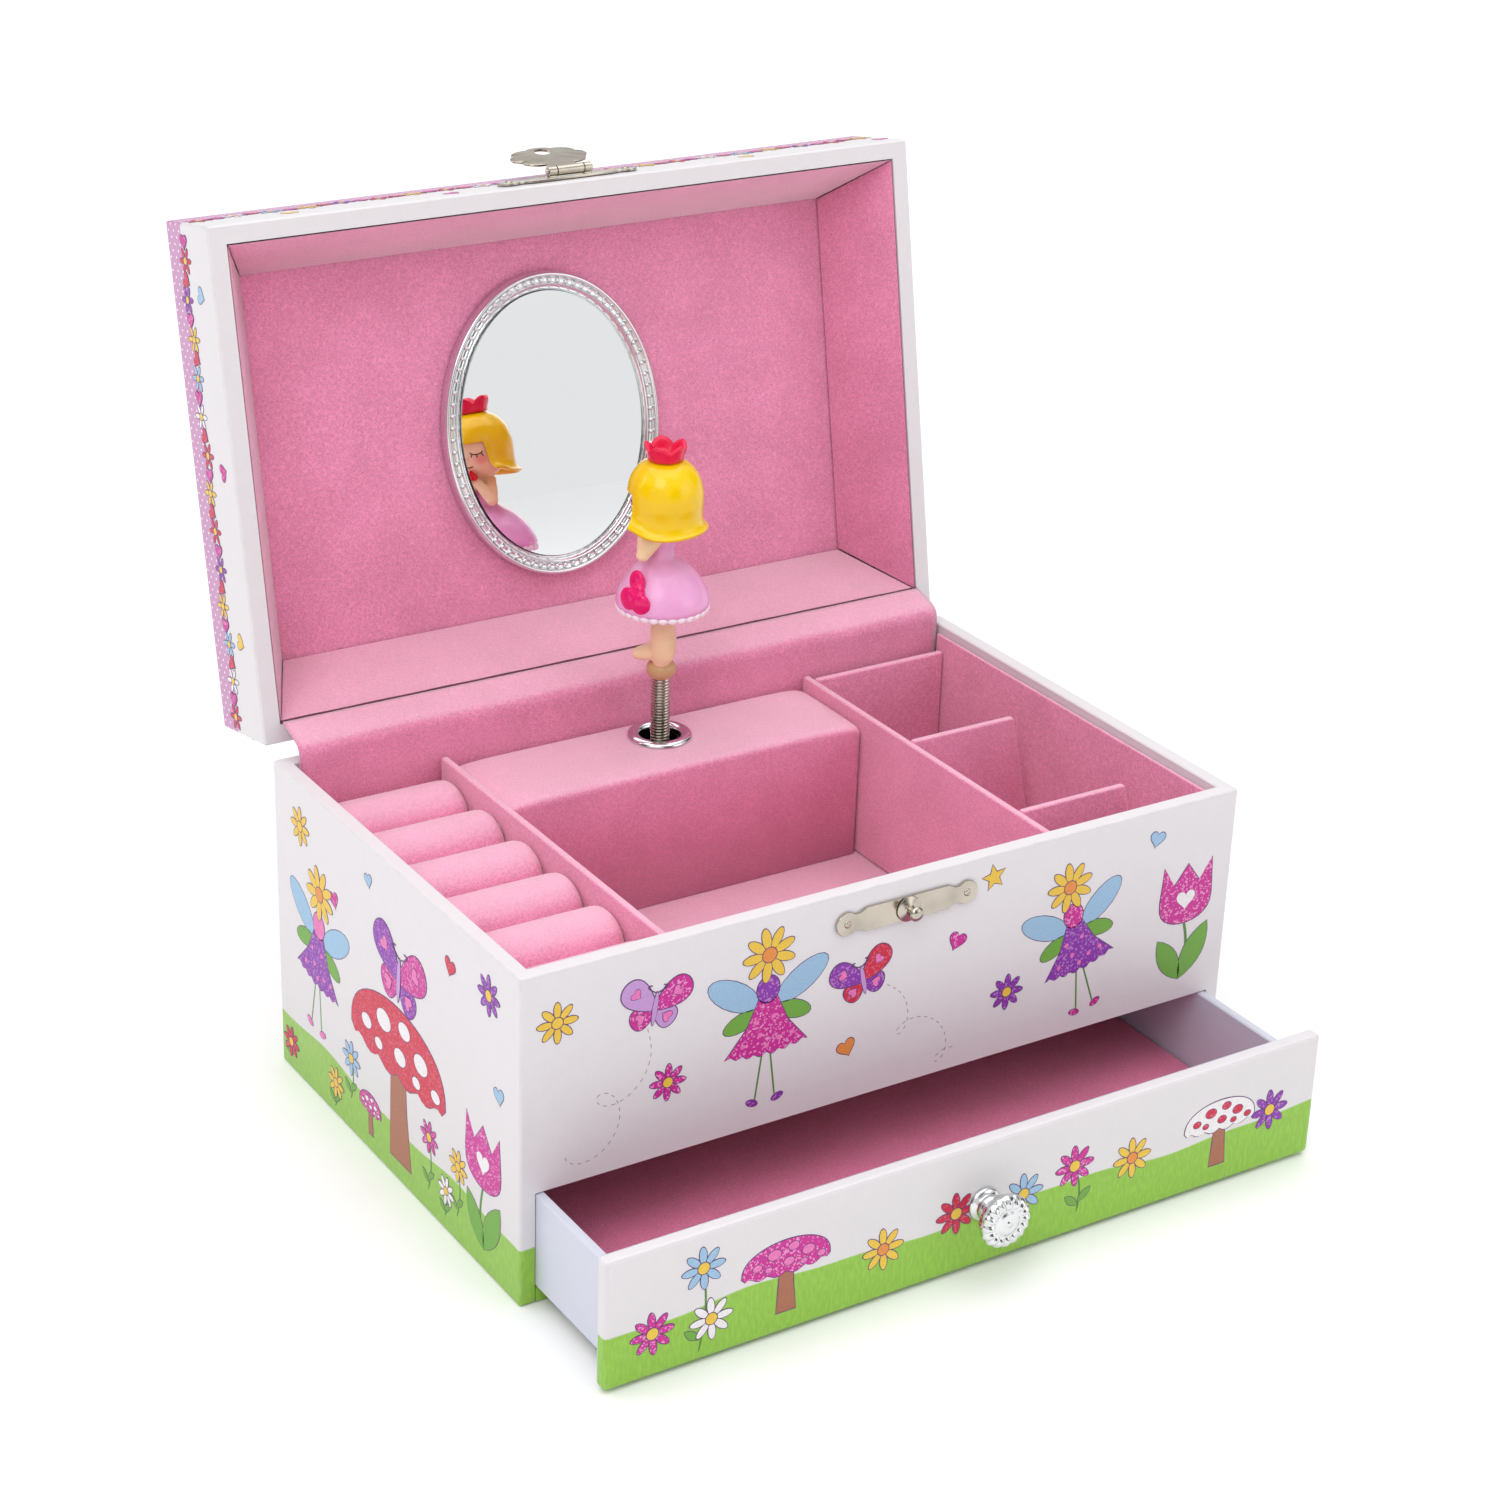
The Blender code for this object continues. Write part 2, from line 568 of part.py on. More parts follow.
def make_lid():
    outer = box("lid_block", (-HALF_W, -HALF_D, LID_RIM), (HALF_W, HALF_D, LID_TOP), "paper",
                round_by=0.6 * MM)
    inside = box_mesh((LID_WALL - HALF_W, LID_WALL - HALF_D, 0),
                      (HALF_W - LID_WALL, HALF_D - LID_WALL, LID_TOP - LID_TOP_BOARD))
    combine("lid_shell", outer, [inside], "paper", "DIFFERENCE", pivot=lid_axis)

    rim = (HALF_W - LID_WALL - GAP, HALF_D - LID_WALL - GAP)
    low = LID_RIM + GAP
    high = CASE_HEIGHT + LINING_DEPTH
    padding = 2.5 * MM
    panel = (rim[0] - LINING_SLOPE_RUN, rim[1] - LINING_SLOPE_RUN + 1 * MM)
    back = (panel[0] + padding, panel[1] + padding)
    lip = (rim[0] - 0.6 * MM, rim[1] - 0.6 * MM)
    slope = ((lip[0] - panel[0]) / (high - low), (lip[1] - panel[1]) / (high - low))
    over = 2 * MM                                  # the cutter runs past both ends
    cut_low = tuple(lip[i] + slope[i] * over for i in (0, 1))
    cut_high = tuple(panel[i] - slope[i] * over for i in (0, 1))
    combine("lid_lining", frustum_mesh(rim, low, back, high),
            [frustum_mesh(cut_low, low - over, cut_high, high + over)], "flock", "DIFFERENCE",
            pivot=lid_axis)
    pad_high = LID_TOP - LID_TOP_BOARD - GAP
    box("lid_panel_pad", (-back[0], -back[1], high + GAP), (back[0], back[1], pad_high), "flock",
        lid_axis, round_by=0.5 * MM)
    make_mirror(high)


MIRROR_X = -3.6 * MM
MIRROR_HALF = (40.9 * MM, 51.6 * MM)
MIRROR_FRAME_WIDTH = 6.2 * MM


def make_mirror(panel_z):
    """Oval mirror with a rim, on the lid's padded panel."""
    depth = 4.4 * MM
    opening = tuple(half - MIRROR_FRAME_WIDTH for half in MIRROR_HALF)
    plate("mirror_frame", [ellipse(*MIRROR_HALF), ellipse(*opening)[::-1]], depth, "chrome",
          Matrix.Identity(4), (MIRROR_X, 0, panel_z - depth / 2), lid_axis)
    glass = 1.5 * MM
    plate("mirror_glass", [ellipse(opening[0] - GAP, opening[1] - GAP)], glass, "mirror",
          Matrix.Identity(4), (MIRROR_X, 0, panel_z - 1.2 * MM - glass / 2), lid_axis)


# ---- hinges and hasp ------------------------------------------------------------------
KNUCKLE = 2.1 * MM
HINGE_HALF = 12.5 * MM


def make_butt_hinge(side, centre_x):
    """Case leaf with two knuckles and the pin, lid leaf with the middle knuckle."""
    leaf_y = (HALF_D + GAP, HALF_D + GAP + SHEET_METAL)
    middle = 4.1 * MM
    pin_radius = 0.9 * MM
    low_leaf = box_mesh((centre_x - HINGE_HALF, leaf_y[0], HINGE_Z - 17 * MM),
                        (centre_x + HINGE_HALF, leaf_y[1], HINGE_Z - 1.4 * MM))
    extras = [rod_mesh((centre_x - HINGE_HALF, HINGE_Y, HINGE_Z), 2 * HINGE_HALF, pin_radius,
                       "X", 12)]
    for start in (-HINGE_HALF, middle + GAP):
        length = HINGE_HALF - middle - GAP
        extras.append(rod_mesh((centre_x + start, HINGE_Y, HINGE_Z), length, KNUCKLE, "X", 16))
        extras.append(box_mesh((centre_x + start, leaf_y[0], HINGE_Z - 1.8 * MM),
                               (centre_x + start + length, HINGE_Y, HINGE_Z - 0.9 * MM)))
    combine(f"{side}_hinge_case_leaf", low_leaf, extras, "nickel")

    high_leaf = box_mesh((centre_x - HINGE_HALF, leaf_y[0], HINGE_Z + 2.6 * MM),
                         (centre_x + HINGE_HALF, leaf_y[1], HINGE_Z + 18 * MM))
    knuckle = rod_mesh((centre_x - middle, HINGE_Y, HINGE_Z), 2 * middle, KNUCKLE, "X", 16)
    web = box_mesh((centre_x - middle, leaf_y[0], HINGE_Z + 1 * MM),
                   (centre_x + middle, HINGE_Y, HINGE_Z + 1.8 * MM))
    neck = box_mesh((centre_x - middle, leaf_y[0], HINGE_Z + 1 * MM),
                    (centre_x + middle, leaf_y[1], HINGE_Z + 4 * MM))
    name = f"{side}_hinge_lid_leaf"
    leaf = combine(name, high_leaf, [knuckle, web, neck], "nickel")
    hole = rod_mesh((centre_x - 2 * middle, HINGE_Y, HINGE_Z), 4 * middle, 1.25 * MM, "X", 16)
    combine(name, leaf, [hole], "nickel", "DIFFERENCE", pivot=lid_axis)


def scalloped(half_length, half_width, lobes=3):
    """A bar whose two ends are worked as small round lobes."""
    lobe = half_width / lobes
    outline = []
    for sign in (1, -1):
        for number in range(lobes):
            centre = -half_width + lobe * (2 * number + 1)
            out = half_length - lobe + (0.9 * lobe if number == lobes // 2 else 0)
            for step in np.linspace(-math.pi / 2, math.pi / 2, 7):
                outline.append((sign * (out + lobe * math.cos(step)),
                                sign * (centre + lobe * 0.98 * math.sin(step))))
    return outline


def hasp_outline():
    """Shell shaped: a neck at the pin, then a fan of round lobes."""
    fan_centre = 14 * MM
    wide = 13.2 * MM
    deep = 8 * MM
    outline = [(-4.6 * MM, 0), (4.6 * MM, 0), (4.6 * MM, 5 * MM)]
    lobes = 5
    angles = np.linspace(math.radians(-28), math.radians(208), lobes * 8 + 1)
    for step, angle in enumerate(angles):
        swell = 1 + 0.07 * abs(math.sin(math.pi * step / 8)) ** 0.8
        outline.append((wide * swell * math.cos(angle), fan_centre + deep * swell * math.sin(angle)))
    outline.append((-4.6 * MM, 5 * MM))
    return outline


def make_hasp():
    """Strike plate and stud on the case, base plate, pin and swinging hasp on the lid."""
    face_y = -HALF_D - GAP - SHEET_METAL / 2
    bar = scalloped(24.5 * MM, 4 * MM)
    plate("strike_plate", [bar], SHEET_METAL, "nickel", UPRIGHT, (HARDWARE_X, face_y, STUD_Z))
    stud_y = face_y - SHEET_METAL / 2 - GAP
    turned("strike_stud", [(1.2 * MM, 5.4 * MM), (2.3 * MM, 4.8 * MM), (2.4 * MM, 3.8 * MM),
                           (1.5 * MM, 2.8 * MM), (1.5 * MM, 0.8 * MM), (4.2 * MM, 0.5 * MM),
                           (4.2 * MM, 0), (0, 0), (0, 5.4 * MM)],
           (HARDWARE_X, stud_y, STUD_Z), "nickel", "-Y", sides=20)

    base = plate("hasp_base_plate", [bar], SHEET_METAL, "nickel", UPRIGHT,
                 (HARDWARE_X, face_y, HASP_PIN_Z + 1.5 * MM))
    lug_in = 5.2 * MM
    lug_length = 2.8 * MM
    extras = []
    for sign in (-1, 1):
        start = HARDWARE_X + (lug_in if sign > 0 else -lug_in - lug_length)
        extras.append(rod_mesh((start, HASP_PIN_Y, HASP_PIN_Z), lug_length, 1.7 * MM, "X", 16))
        extras.append(box_mesh((start, HASP_PIN_Y, HASP_PIN_Z - 0.8 * MM),
                               (start + lug_length, face_y, HASP_PIN_Z + 0.8 * MM)))
    base = combine("hasp_base_plate", base, extras, "nickel")
    hole_start = (HARDWARE_X - 12 * MM, HASP_PIN_Y, HASP_PIN_Z)
    combine("hasp_base_plate", base, [rod_mesh(hole_start, 24 * MM, 1.1 * MM, "X", 16)], "nickel",
            "DIFFERENCE", pivot=lid_axis)
    half_pin = lug_in + lug_length + 0.6 * MM
    mesh_object("hasp_pin", rod_mesh((HARDWARE_X - half_pin, HASP_PIN_Y, HASP_PIN_Z),
                                     2 * half_pin, 0.8 * MM, "X", 12), "nickel", lid_axis)

    hole = ellipse(2.9 * MM, 2.9 * MM, 20, (0, HASP_PIN_Z - STUD_Z))
    hanging = UPRIGHT @ Matrix.Rotation(math.pi, 4, "Z")
    leaf = plate("hasp", [hasp_outline(), hole[::-1]], SHEET_METAL, "nickel", hanging,
                 (HARDWARE_X, HASP_PIN_Y, HASP_PIN_Z))
    barrel = 4.8 * MM
    leaf = combine("hasp", leaf, [rod_mesh((HARDWARE_X - barrel, HASP_PIN_Y, HASP_PIN_Z),
                                           2 * barrel, 1.7 * MM, "X", 16)], "nickel")
    combine("hasp", leaf, [rod_mesh(hole_start, 24 * MM, 1.1 * MM, "X", 16)], "nickel",
            "DIFFERENCE", pivot=hasp_axis)


# ---- drawer ---------------------------------------------------------------------------
DRAWER_FRONT = 5 * MM
DRAWER_FRONT_TOP = 44 * MM
DRAWER_LOW = 5.6 * MM
DRAWER_HIGH = 37 * MM
DRAWER_BACK_Y = 72 * MM
DRAWER_BOARD = 3 * MM
KNOB_Z = 22.5 * MM


def make_drawer():
    front_y = -HALF_D - GAP
    front = box("drawer_front_block", (-HALF_W, front_y - DRAWER_FRONT, 1 * MM),
                (HALF_W, front_y, DRAWER_FRONT_TOP), "paper", round_by=1.2 * MM, segments=2)
    screw_hole = rod_mesh((0, front_y - DRAWER_FRONT - 1 * MM, KNOB_Z), DRAWER_FRONT + 2 * MM,
                          2 * MM, "Y", 16)
    combine("drawer_front", front, [screw_hole], "paper", "DIFFERENCE", pivot=drawer_slide)
    outer = INNER_X - GAP
    inner = outer - DRAWER_BOARD
    box_front = front_y + GAP
    for side, sign in (("left", -1), ("right", 1)):
        xs = sorted((sign * inner, sign * outer))
        box(f"drawer_{side}_side", (xs[0], box_front, DRAWER_LOW), (xs[1], DRAWER_BACK_Y, DRAWER_HIGH),
            "lavender_paper", drawer_slide, round_by=0.4 * MM)
    within = inner - GAP
    back_y = DRAWER_BACK_Y - DRAWER_BOARD
    box("drawer_back", (-within, back_y, DRAWER_LOW), (within, DRAWER_BACK_Y, DRAWER_HIGH), "paper",
        drawer_slide, round_by=0.4 * MM)
    bottom_top = DRAWER_LOW + 2.4 * MM
    box("drawer_bottom", (-within, box_front, DRAWER_LOW), (within, back_y - GAP, bottom_top),
        "board", drawer_slide)
    box("drawer_lining", (-within + GAP, box_front, bottom_top + GAP),
        (within - GAP, back_y - 2 * GAP, bottom_top + 1.5 * MM), "flock", drawer_slide)
    knob_y = front_y - DRAWER_FRONT - GAP
    turned("drawer_knob", [(3 * MM, 10 * MM), (6.6 * MM, 9.2 * MM), (8 * MM, 7 * MM),
                           (7.4 * MM, 5.4 * MM), (3.2 * MM, 3.6 * MM), (3.2 * MM, 1.6 * MM),
                           (5.2 * MM, 0.6 * MM), (5.2 * MM, 0), (0, 0), (0, 10 * MM)],
           (0, knob_y, KNOB_Z), "chrome", "-Y", sides=24, pivot=drawer_slide)
    head_y = front_y + GAP
    shank = rod_mesh((0, knob_y + 2 * GAP, KNOB_Z), head_y - knob_y, 1.6 * MM, "Y", 12)
    head = rod_mesh((0, head_y, KNOB_Z), 1.4 * MM, 3.4 * MM, "Y", 16, end_radius=2.4 * MM)
    combine("knob_screw", shank, [head], "steel", pivot=drawer_slide)


# ---- figure ---------------------------------------------------------------------------
def make_figure():
    """Spring, body with legs, arms and head, dome skirt, bell of hair and crown."""
    centre = Vector((0, FIGURE_Y, 0))
    ribs = 9
    rib = (SPRING_TOP - SPRING_BOTTOM) / ribs
    profile = []
    for number in range(ribs):
        top = SPRING_TOP - rib * number
        profile += [(2.7 * MM, top), (3.3 * MM, top - rib / 2)]
    profile += [(2.7 * MM, SPRING_BOTTOM), (0, SPRING_BOTTOM), (0, SPRING_TOP)]
    turned("ballerina_spring", profile, centre, "steel", sides=14, pivot=spring_bend)

    ahead = Vector((math.cos(FIGURE_FACING), math.sin(FIGURE_FACING), 0))
    aside = Vector((-ahead.y, ahead.x, 0))

    def at(forward, sideways, z):
        return centre + ahead * (forward * MM) + aside * (sideways * MM) + Vector((0, 0, z * MM))

    foot_low = SPRING_TOP + GAP
    base = rod_mesh(centre + Vector((0, 0, foot_low)), 5 * MM, 4.8 * MM, "Z", 14, 5.6 * MM)
    pieces = [
        rod_mesh(at(0.4, 0, 124.5), 24 * MM, 4.3 * MM, "Z", 14, 3.6 * MM),
        ball_mesh(at(5, 0, 127.4), (4.2 * MM, 4.2 * MM, 2.6 * MM)),
        rod_mesh(at(0, 0, 147), 28 * MM, 2.9 * MM, "Z", 14, 3.1 * MM),
        ball_mesh(at(0, 0, 183.5), (11 * MM, 11 * MM, 11 * MM), 12, 20),
    ]
    for sign in (-1, 1):
        pieces.append(ball_mesh(at(1.5, sign * 4.4, 167.6), (2 * MM, 2 * MM, 3.4 * MM)))
        pieces.append(ball_mesh(at(5, sign * 2.8, 168.6), (3.4 * MM, 3.4 * MM, 2.6 * MM)))
    combine("ballerina_body", base, pieces, "skin", pivot=figure_axis, smooth=True)

    def dome(radius, low, high, count):
        """Points of a bell curve from the waist down to the hem."""
        steps = np.linspace(0, 1, count)
        return [(3.5 * MM + (radius - 3.5 * MM) * math.sin(s * math.pi / 2) ** 0.9,
                 low + (high - low) * math.cos(s * math.pi / 2) ** 1.1) for s in steps]

    shell = 1.2 * MM
    outer = dome(15.5 * MM, 146 * MM, 163.5 * MM, 7)
    inner = dome(15.5 * MM - shell, 146 * MM, 163.5 * MM - shell, 7)
    turned("ballerina_skirt", outer + inner[::-1], centre, "skirt", sides=24, pivot=figure_axis)

    def bell(radius, flare, count):
        """Round crown of the head, then straight down to a turned-out edge."""
        turns = np.linspace(0, math.pi / 2, count)
        top = [(radius * math.sin(a), 184.5 * MM + radius * math.cos(a)) for a in turns]
        return top + [(radius + 0.2 * MM, 178.5 * MM), (radius + flare, 174.5 * MM)]

    skin_gap = 11.3 * MM
    outer = bell(12.5 * MM, 1.3 * MM, 7)
    inner = bell(skin_gap, 1.3 * MM, 7)
    hair = turned("ballerina_hair", outer + inner[::-1], centre, "hair", sides=24)
    face = box_mesh((2 * MM, -8.5 * MM, 170 * MM), (20 * MM, 8.5 * MM, 187 * MM))
    bmesh.ops.transform(face, verts=face.verts, matrix=Matrix.Translation(centre)
                        @ Matrix.Rotation(FIGURE_FACING, 4, "Z"))
    combine("ballerina_hair", hair, [face], "hair", "DIFFERENCE", pivot=figure_axis)
    make_crown(centre)


def make_crown(centre):
    """A ring whose upper edge rises to five points."""
    points = 5
    steps = 4                                        # edge steps from one point to the next
    low = 196.4 * MM
    bm = bmesh.new()
    bmesh.ops.create_cone(bm, cap_ends=False, segments=points * steps, radius1=5.5 * MM,
                          radius2=6.5 * MM, depth=4 * MM)
    bmesh.ops.translate(bm, vec=(0, 0, low + 2 * MM), verts=bm.verts)
    for vert in bm.verts:
        if vert.co.z > low + 1 * MM:
            turn = (math.atan2(vert.co.y, vert.co.x) / (2 * math.pi) * points) % 1
            vert.co.z += 2.6 * MM * (1 - 2 * min(turn, 1 - turn)) - 1 * MM
    bmesh.ops.translate(bm, vec=centre, verts=bm.verts)
    crown = mesh_object("ballerina_crown", bm, "crown", figure_axis)
    wall = crown.modifiers.new("wall", "SOLIDIFY")
    wall.thickness = 1 * MM
    wall.offset = -1


make_case()
make_tray()
make_mechanism_cover()
make_hinge_flap()
make_movement()
make_lid()
for hinge_side, hinge_x in (("left", -85 * MM), ("right", 85 * MM)):
    make_butt_hinge(hinge_side, hinge_x)
make_hasp()
make_drawer()
make_figure()
bpy.context.view_layer.update()
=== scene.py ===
"""Finished look of a wind-up ballerina jewellery box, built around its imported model.

Every new piece is a surface worked out with numpy in metres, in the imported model's own frame:
+X to the right along the front, +Y to the back, +Z up.  Lid pieces are shaped with the lid shut
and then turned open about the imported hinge.
"""
import json
import math

import bmesh
import bpy
import numpy as np
from bpy.props import FloatProperty, FloatVectorProperty, IntProperty, PointerProperty
from mathutils import Matrix, Vector


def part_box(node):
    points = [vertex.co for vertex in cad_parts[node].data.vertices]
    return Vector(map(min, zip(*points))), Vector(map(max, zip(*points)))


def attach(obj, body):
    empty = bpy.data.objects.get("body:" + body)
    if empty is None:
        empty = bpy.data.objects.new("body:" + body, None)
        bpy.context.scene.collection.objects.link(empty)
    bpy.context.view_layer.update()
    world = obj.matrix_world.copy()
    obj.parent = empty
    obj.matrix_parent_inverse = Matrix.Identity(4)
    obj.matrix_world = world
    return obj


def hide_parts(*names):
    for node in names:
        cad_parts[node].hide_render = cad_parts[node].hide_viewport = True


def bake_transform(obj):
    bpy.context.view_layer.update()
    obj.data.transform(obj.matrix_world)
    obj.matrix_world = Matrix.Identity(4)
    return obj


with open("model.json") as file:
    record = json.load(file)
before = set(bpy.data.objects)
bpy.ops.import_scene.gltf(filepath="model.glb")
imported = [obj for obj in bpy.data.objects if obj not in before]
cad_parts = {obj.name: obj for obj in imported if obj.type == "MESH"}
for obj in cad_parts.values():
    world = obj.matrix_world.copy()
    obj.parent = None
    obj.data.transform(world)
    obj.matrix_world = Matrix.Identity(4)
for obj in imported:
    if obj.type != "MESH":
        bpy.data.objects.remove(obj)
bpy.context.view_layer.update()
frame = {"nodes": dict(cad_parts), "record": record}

bl_info = {
    "name": "Ballerina jewellery box",
    "version": (1, 0, 0),
    "blender": (4, 5, 0),
    "location": "3D View > Sidebar > Jewellery Box",
    "description": "Papered case, flocked tray, printed motifs, hardware and dancing figure",
    "category": "Object",
}

MM = 0.001
JOINTS = {joint["name"]: joint for joint in frame["record"]["behaviour"]["joints"]}


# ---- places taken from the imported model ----
def turned_about(points, pivot, degrees):
    """Points turned about the line along +X through a pivot."""
    turn = np.array(Matrix.Rotation(math.radians(degrees), 3, "X"))
    return (np.asarray(points) - pivot) @ turn.T + pivot


def lid_shut(points):
    """Rest place to lid shut."""
    joint = JOINTS["lid_hinge"]
    return turned_about(points, joint["pos_m"], joint["range_deg"][1])


def lid_open(points):
    """Lid shut to rest place."""
    joint = JOINTS["lid_hinge"]
    return turned_about(points, joint["pos_m"], -joint["range_deg"][1])


def hasp_hanging(points):
    """Rest place to lid shut and hasp hanging down."""
    joint = JOINTS["hasp_hinge"]
    return turned_about(lid_shut(points), lid_shut([joint["pos_m"]])[0], joint["range_deg"][1])


def hasp_folded(points):
    """Lid shut and hasp hanging down to rest place."""
    joint = JOINTS["hasp_hinge"]
    folded = turned_about(points, lid_shut([joint["pos_m"]])[0], -joint["range_deg"][1])
    return lid_open(folded)


def as_placed(points):
    """For a node that its rest place doesn't turn."""
    return points


def corners(node, unplace=as_placed):
    """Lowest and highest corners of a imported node, after undoing its rest place."""
    mesh = frame["nodes"][node].data
    points = np.empty(len(mesh.vertices) * 3)
    mesh.vertices.foreach_get("co", points)
    points = unplace(points.reshape(-1, 3))
    return points.min(axis=0), points.max(axis=0)


# How each fixed body's pieces are turned for shaping, and back again.
PLACINGS = {"case": (as_placed, as_placed), "lid": (lid_shut, lid_open)}
CASE_LOW = np.array(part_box("left_side_panel")[0])
CASE_HIGH = np.array(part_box("right_side_panel")[1])
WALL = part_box("left_side_panel")[1][0] - CASE_LOW[0]
DRAWER_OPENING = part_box("front_panel")[0][2]
LID_LOW, LID_HIGH = corners("lid_shell", lid_shut)
BORDER_Z = LID_HIGH[2] - 12.5 * MM       # middle of the lid's wavy printed border
FIGURE = np.array([*JOINTS["figure_spin"]["pos_m"][:2], 0.0])
FACING = math.radians(143)               # heading of the figure's face, from +X


# ---- settings ----
def linear(red, green, blue):
    """Screen colour, 0 to 255, as linear light."""
    return tuple(((c / 255 + 0.055) / 1.055) ** 2.4 if c > 10 else c / 3294 for c in (red, green, blue))


def colour_setting(name, description, *screen):
    return FloatVectorProperty(name=name, description=description, subtype="COLOR",
                               default=linear(*screen), min=0, max=1)


def length_setting(name, description, default):
    return FloatProperty(name=name, description=description, default=default, unit="LENGTH")


class JewelleryColours(bpy.types.PropertyGroup):
    """Colours of the papers, the flock and the figure."""
    paper: colour_setting("Paper", "Ground of the printed paper", 218, 214, 217)
    lavender: colour_setting("Lavender", "Dotted paper on the lid and its border", 192, 138, 180)
    lilac_board: colour_setting("Drawer paper", "Paper on the drawer's sides", 204, 206, 220)
    grass: colour_setting("Grass", "Printed grass", 146, 196, 66)
    flock: colour_setting("Flock", "Pile of the lining", 243, 149, 185)
    # A deeper, more saturated copy of the flock for the drawer's lining: painted shade for the dim drawer
    # under the case.
    deep_flock: colour_setting("Drawer flock", "Pile of the drawer's lining", 244, 116, 160)
    hair: colour_setting("Hair", "Figure's hair", 240, 200, 0)
    skirt: colour_setting("Skirt", "Figure's dress", 236, 170, 216)
    crown: colour_setting("Crown", "Figure's crown", 226, 20, 70)
    skin: colour_setting("Skin", "Figure's skin", 250, 222, 178)


class JewellerySizes(bpy.types.PropertyGroup):
    """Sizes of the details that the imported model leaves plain."""
    pile: length_setting("Pile", "Grain of the flock", 0.5 * MM)
    soft_edge: length_setting("Soft edge", "Rounding of a flocked board's edges", 0.9 * MM)
    roll_swell: length_setting("Roll swell", "Furthest that a ring roll's cloth may move", 0.5 * MM)
    print_lift: length_setting("Ink film", "Thickness of one layer of printed ink", 0.018 * MM)
    wire: length_setting("Spring wire", "Diameter of the spring's wire", 1.0 * MM)
    beads: IntProperty(name="Mirror beads", description="Beads round the mirror", default=76)


def colours():
    return bpy.context.scene.jewellery_colours


def sizes():
    return bpy.context.scene.jewellery_sizes


# ---- shaders ----
class Value:
    """A shader socket.  Sums and comparisons on it add Math nodes."""

    def __init__(self, finish, socket):
        self.finish = finish
        self.socket = socket

    def math(self, operation, *others):
        terms = dict(enumerate((self, *others)))
        return self.finish.add("Math", {"operation": operation}, terms)

    def __add__(self, other):
        return self.math("ADD", other)

    def __sub__(self, other):
        return self.math("SUBTRACT", other)

    def __mul__(self, other):
        return self.math("MULTIPLY", other)

    def __truediv__(self, other):
        return self.math("DIVIDE", other)

    def __rsub__(self, other):
        return self * -1 + other

    def __lt__(self, other):
        return self.math("LESS_THAN", other)

    def __gt__(self, other):
        return self.math("GREATER_THAN", other)

    def __abs__(self):
        return self.math("ABSOLUTE")

    def step(self, low, high):
        """0 at low, 1 at high, eased between."""
        settings = {"interpolation_type": "SMOOTHSTEP"}
        return self.finish.add("MapRange", settings, {0: self, 1: low, 2: high})

    __radd__ = __add__
    __rmul__ = __mul__


class Finish:
    """A material, and the nodes that feed its Principled shader."""

    def __init__(self, name, base, **constants):
        self.material = bpy.data.materials.new(name)
        self.material.use_nodes = True
        self.tree = self.material.node_tree
        self.shader = self.tree.nodes["Principled BSDF"]
        self.base = (*base, 1)
        for socket, value in constants.items():
            self.shader.inputs[socket.replace("_", " ")].default_value = value
        self.place = self.add("TexCoord", output="Object")

    def add(self, kind, settings=None, links=None, output=0):
        """Add a node: its settings first, then the values or links of its sockets."""
        node = self.tree.nodes.new("ShaderNode" + kind)
        for setting, value in (settings or {}).items():
            setattr(node, setting, value)
        for socket, value in (links or {}).items():
            if isinstance(value, Value):
                self.tree.links.new(value.socket, node.inputs[socket])
            else:
                node.inputs[socket].default_value = value
        return Value(self, node.outputs[output])

    def feed(self, socket, value):
        self.tree.links.new(value.socket, self.shader.inputs[socket])

    def noise(self, grain, detail=2.0, place=None):
        """Cloudy pattern whose lumps are about one grain across."""
        links = {"Vector": place or self.place, "Scale": 1 / grain, "Detail": detail}
        return self.add("TexNoise", None, links)

    def cells(self, grain, output=0):
        links = {"Vector": self.place, "Scale": 1 / grain}
        return self.add("TexVoronoi", None, links, output)

    def mapped(self, scale=(1, 1, 1), turn=(0, 0, 0), shift=(0, 0, 0)):
        links = {"Vector": self.place, "Location": shift, "Rotation": turn, "Scale": scale}
        return self.add("Mapping", None, links)

    def axes(self, place=None):
        """The x, y and z of a place."""
        parts = self.add("SeparateXYZ", None, {0: place or self.place})
        return [Value(self, socket) for socket in parts.socket.node.outputs]

    def mix(self, factor, first, second):
        """Second colour over the first by the factor."""
        shades = [c if isinstance(c, Value) or len(c) == 4 else (*c, 1) for c in (first, second)]
        return self.add("Mix", {"data_type": "RGBA"}, {0: factor, 6: shades[0], 7: shades[1]}, 2)

    def shade(self, amount):
        """The base colour multiplied by an amount near 1."""
        links = {0: self.base[:3], "Scale": amount}
        return self.add("VectorMath", {"operation": "SCALE"}, links)

    def bump(self, height, depth):
        links = {"Height": height, "Distance": depth, "Strength": 1.0}
        self.feed("Normal", self.add("Bump", None, links))


def darker(colour, amount):
    """A colour multiplied by an amount."""
    return tuple(c * amount for c in colour)


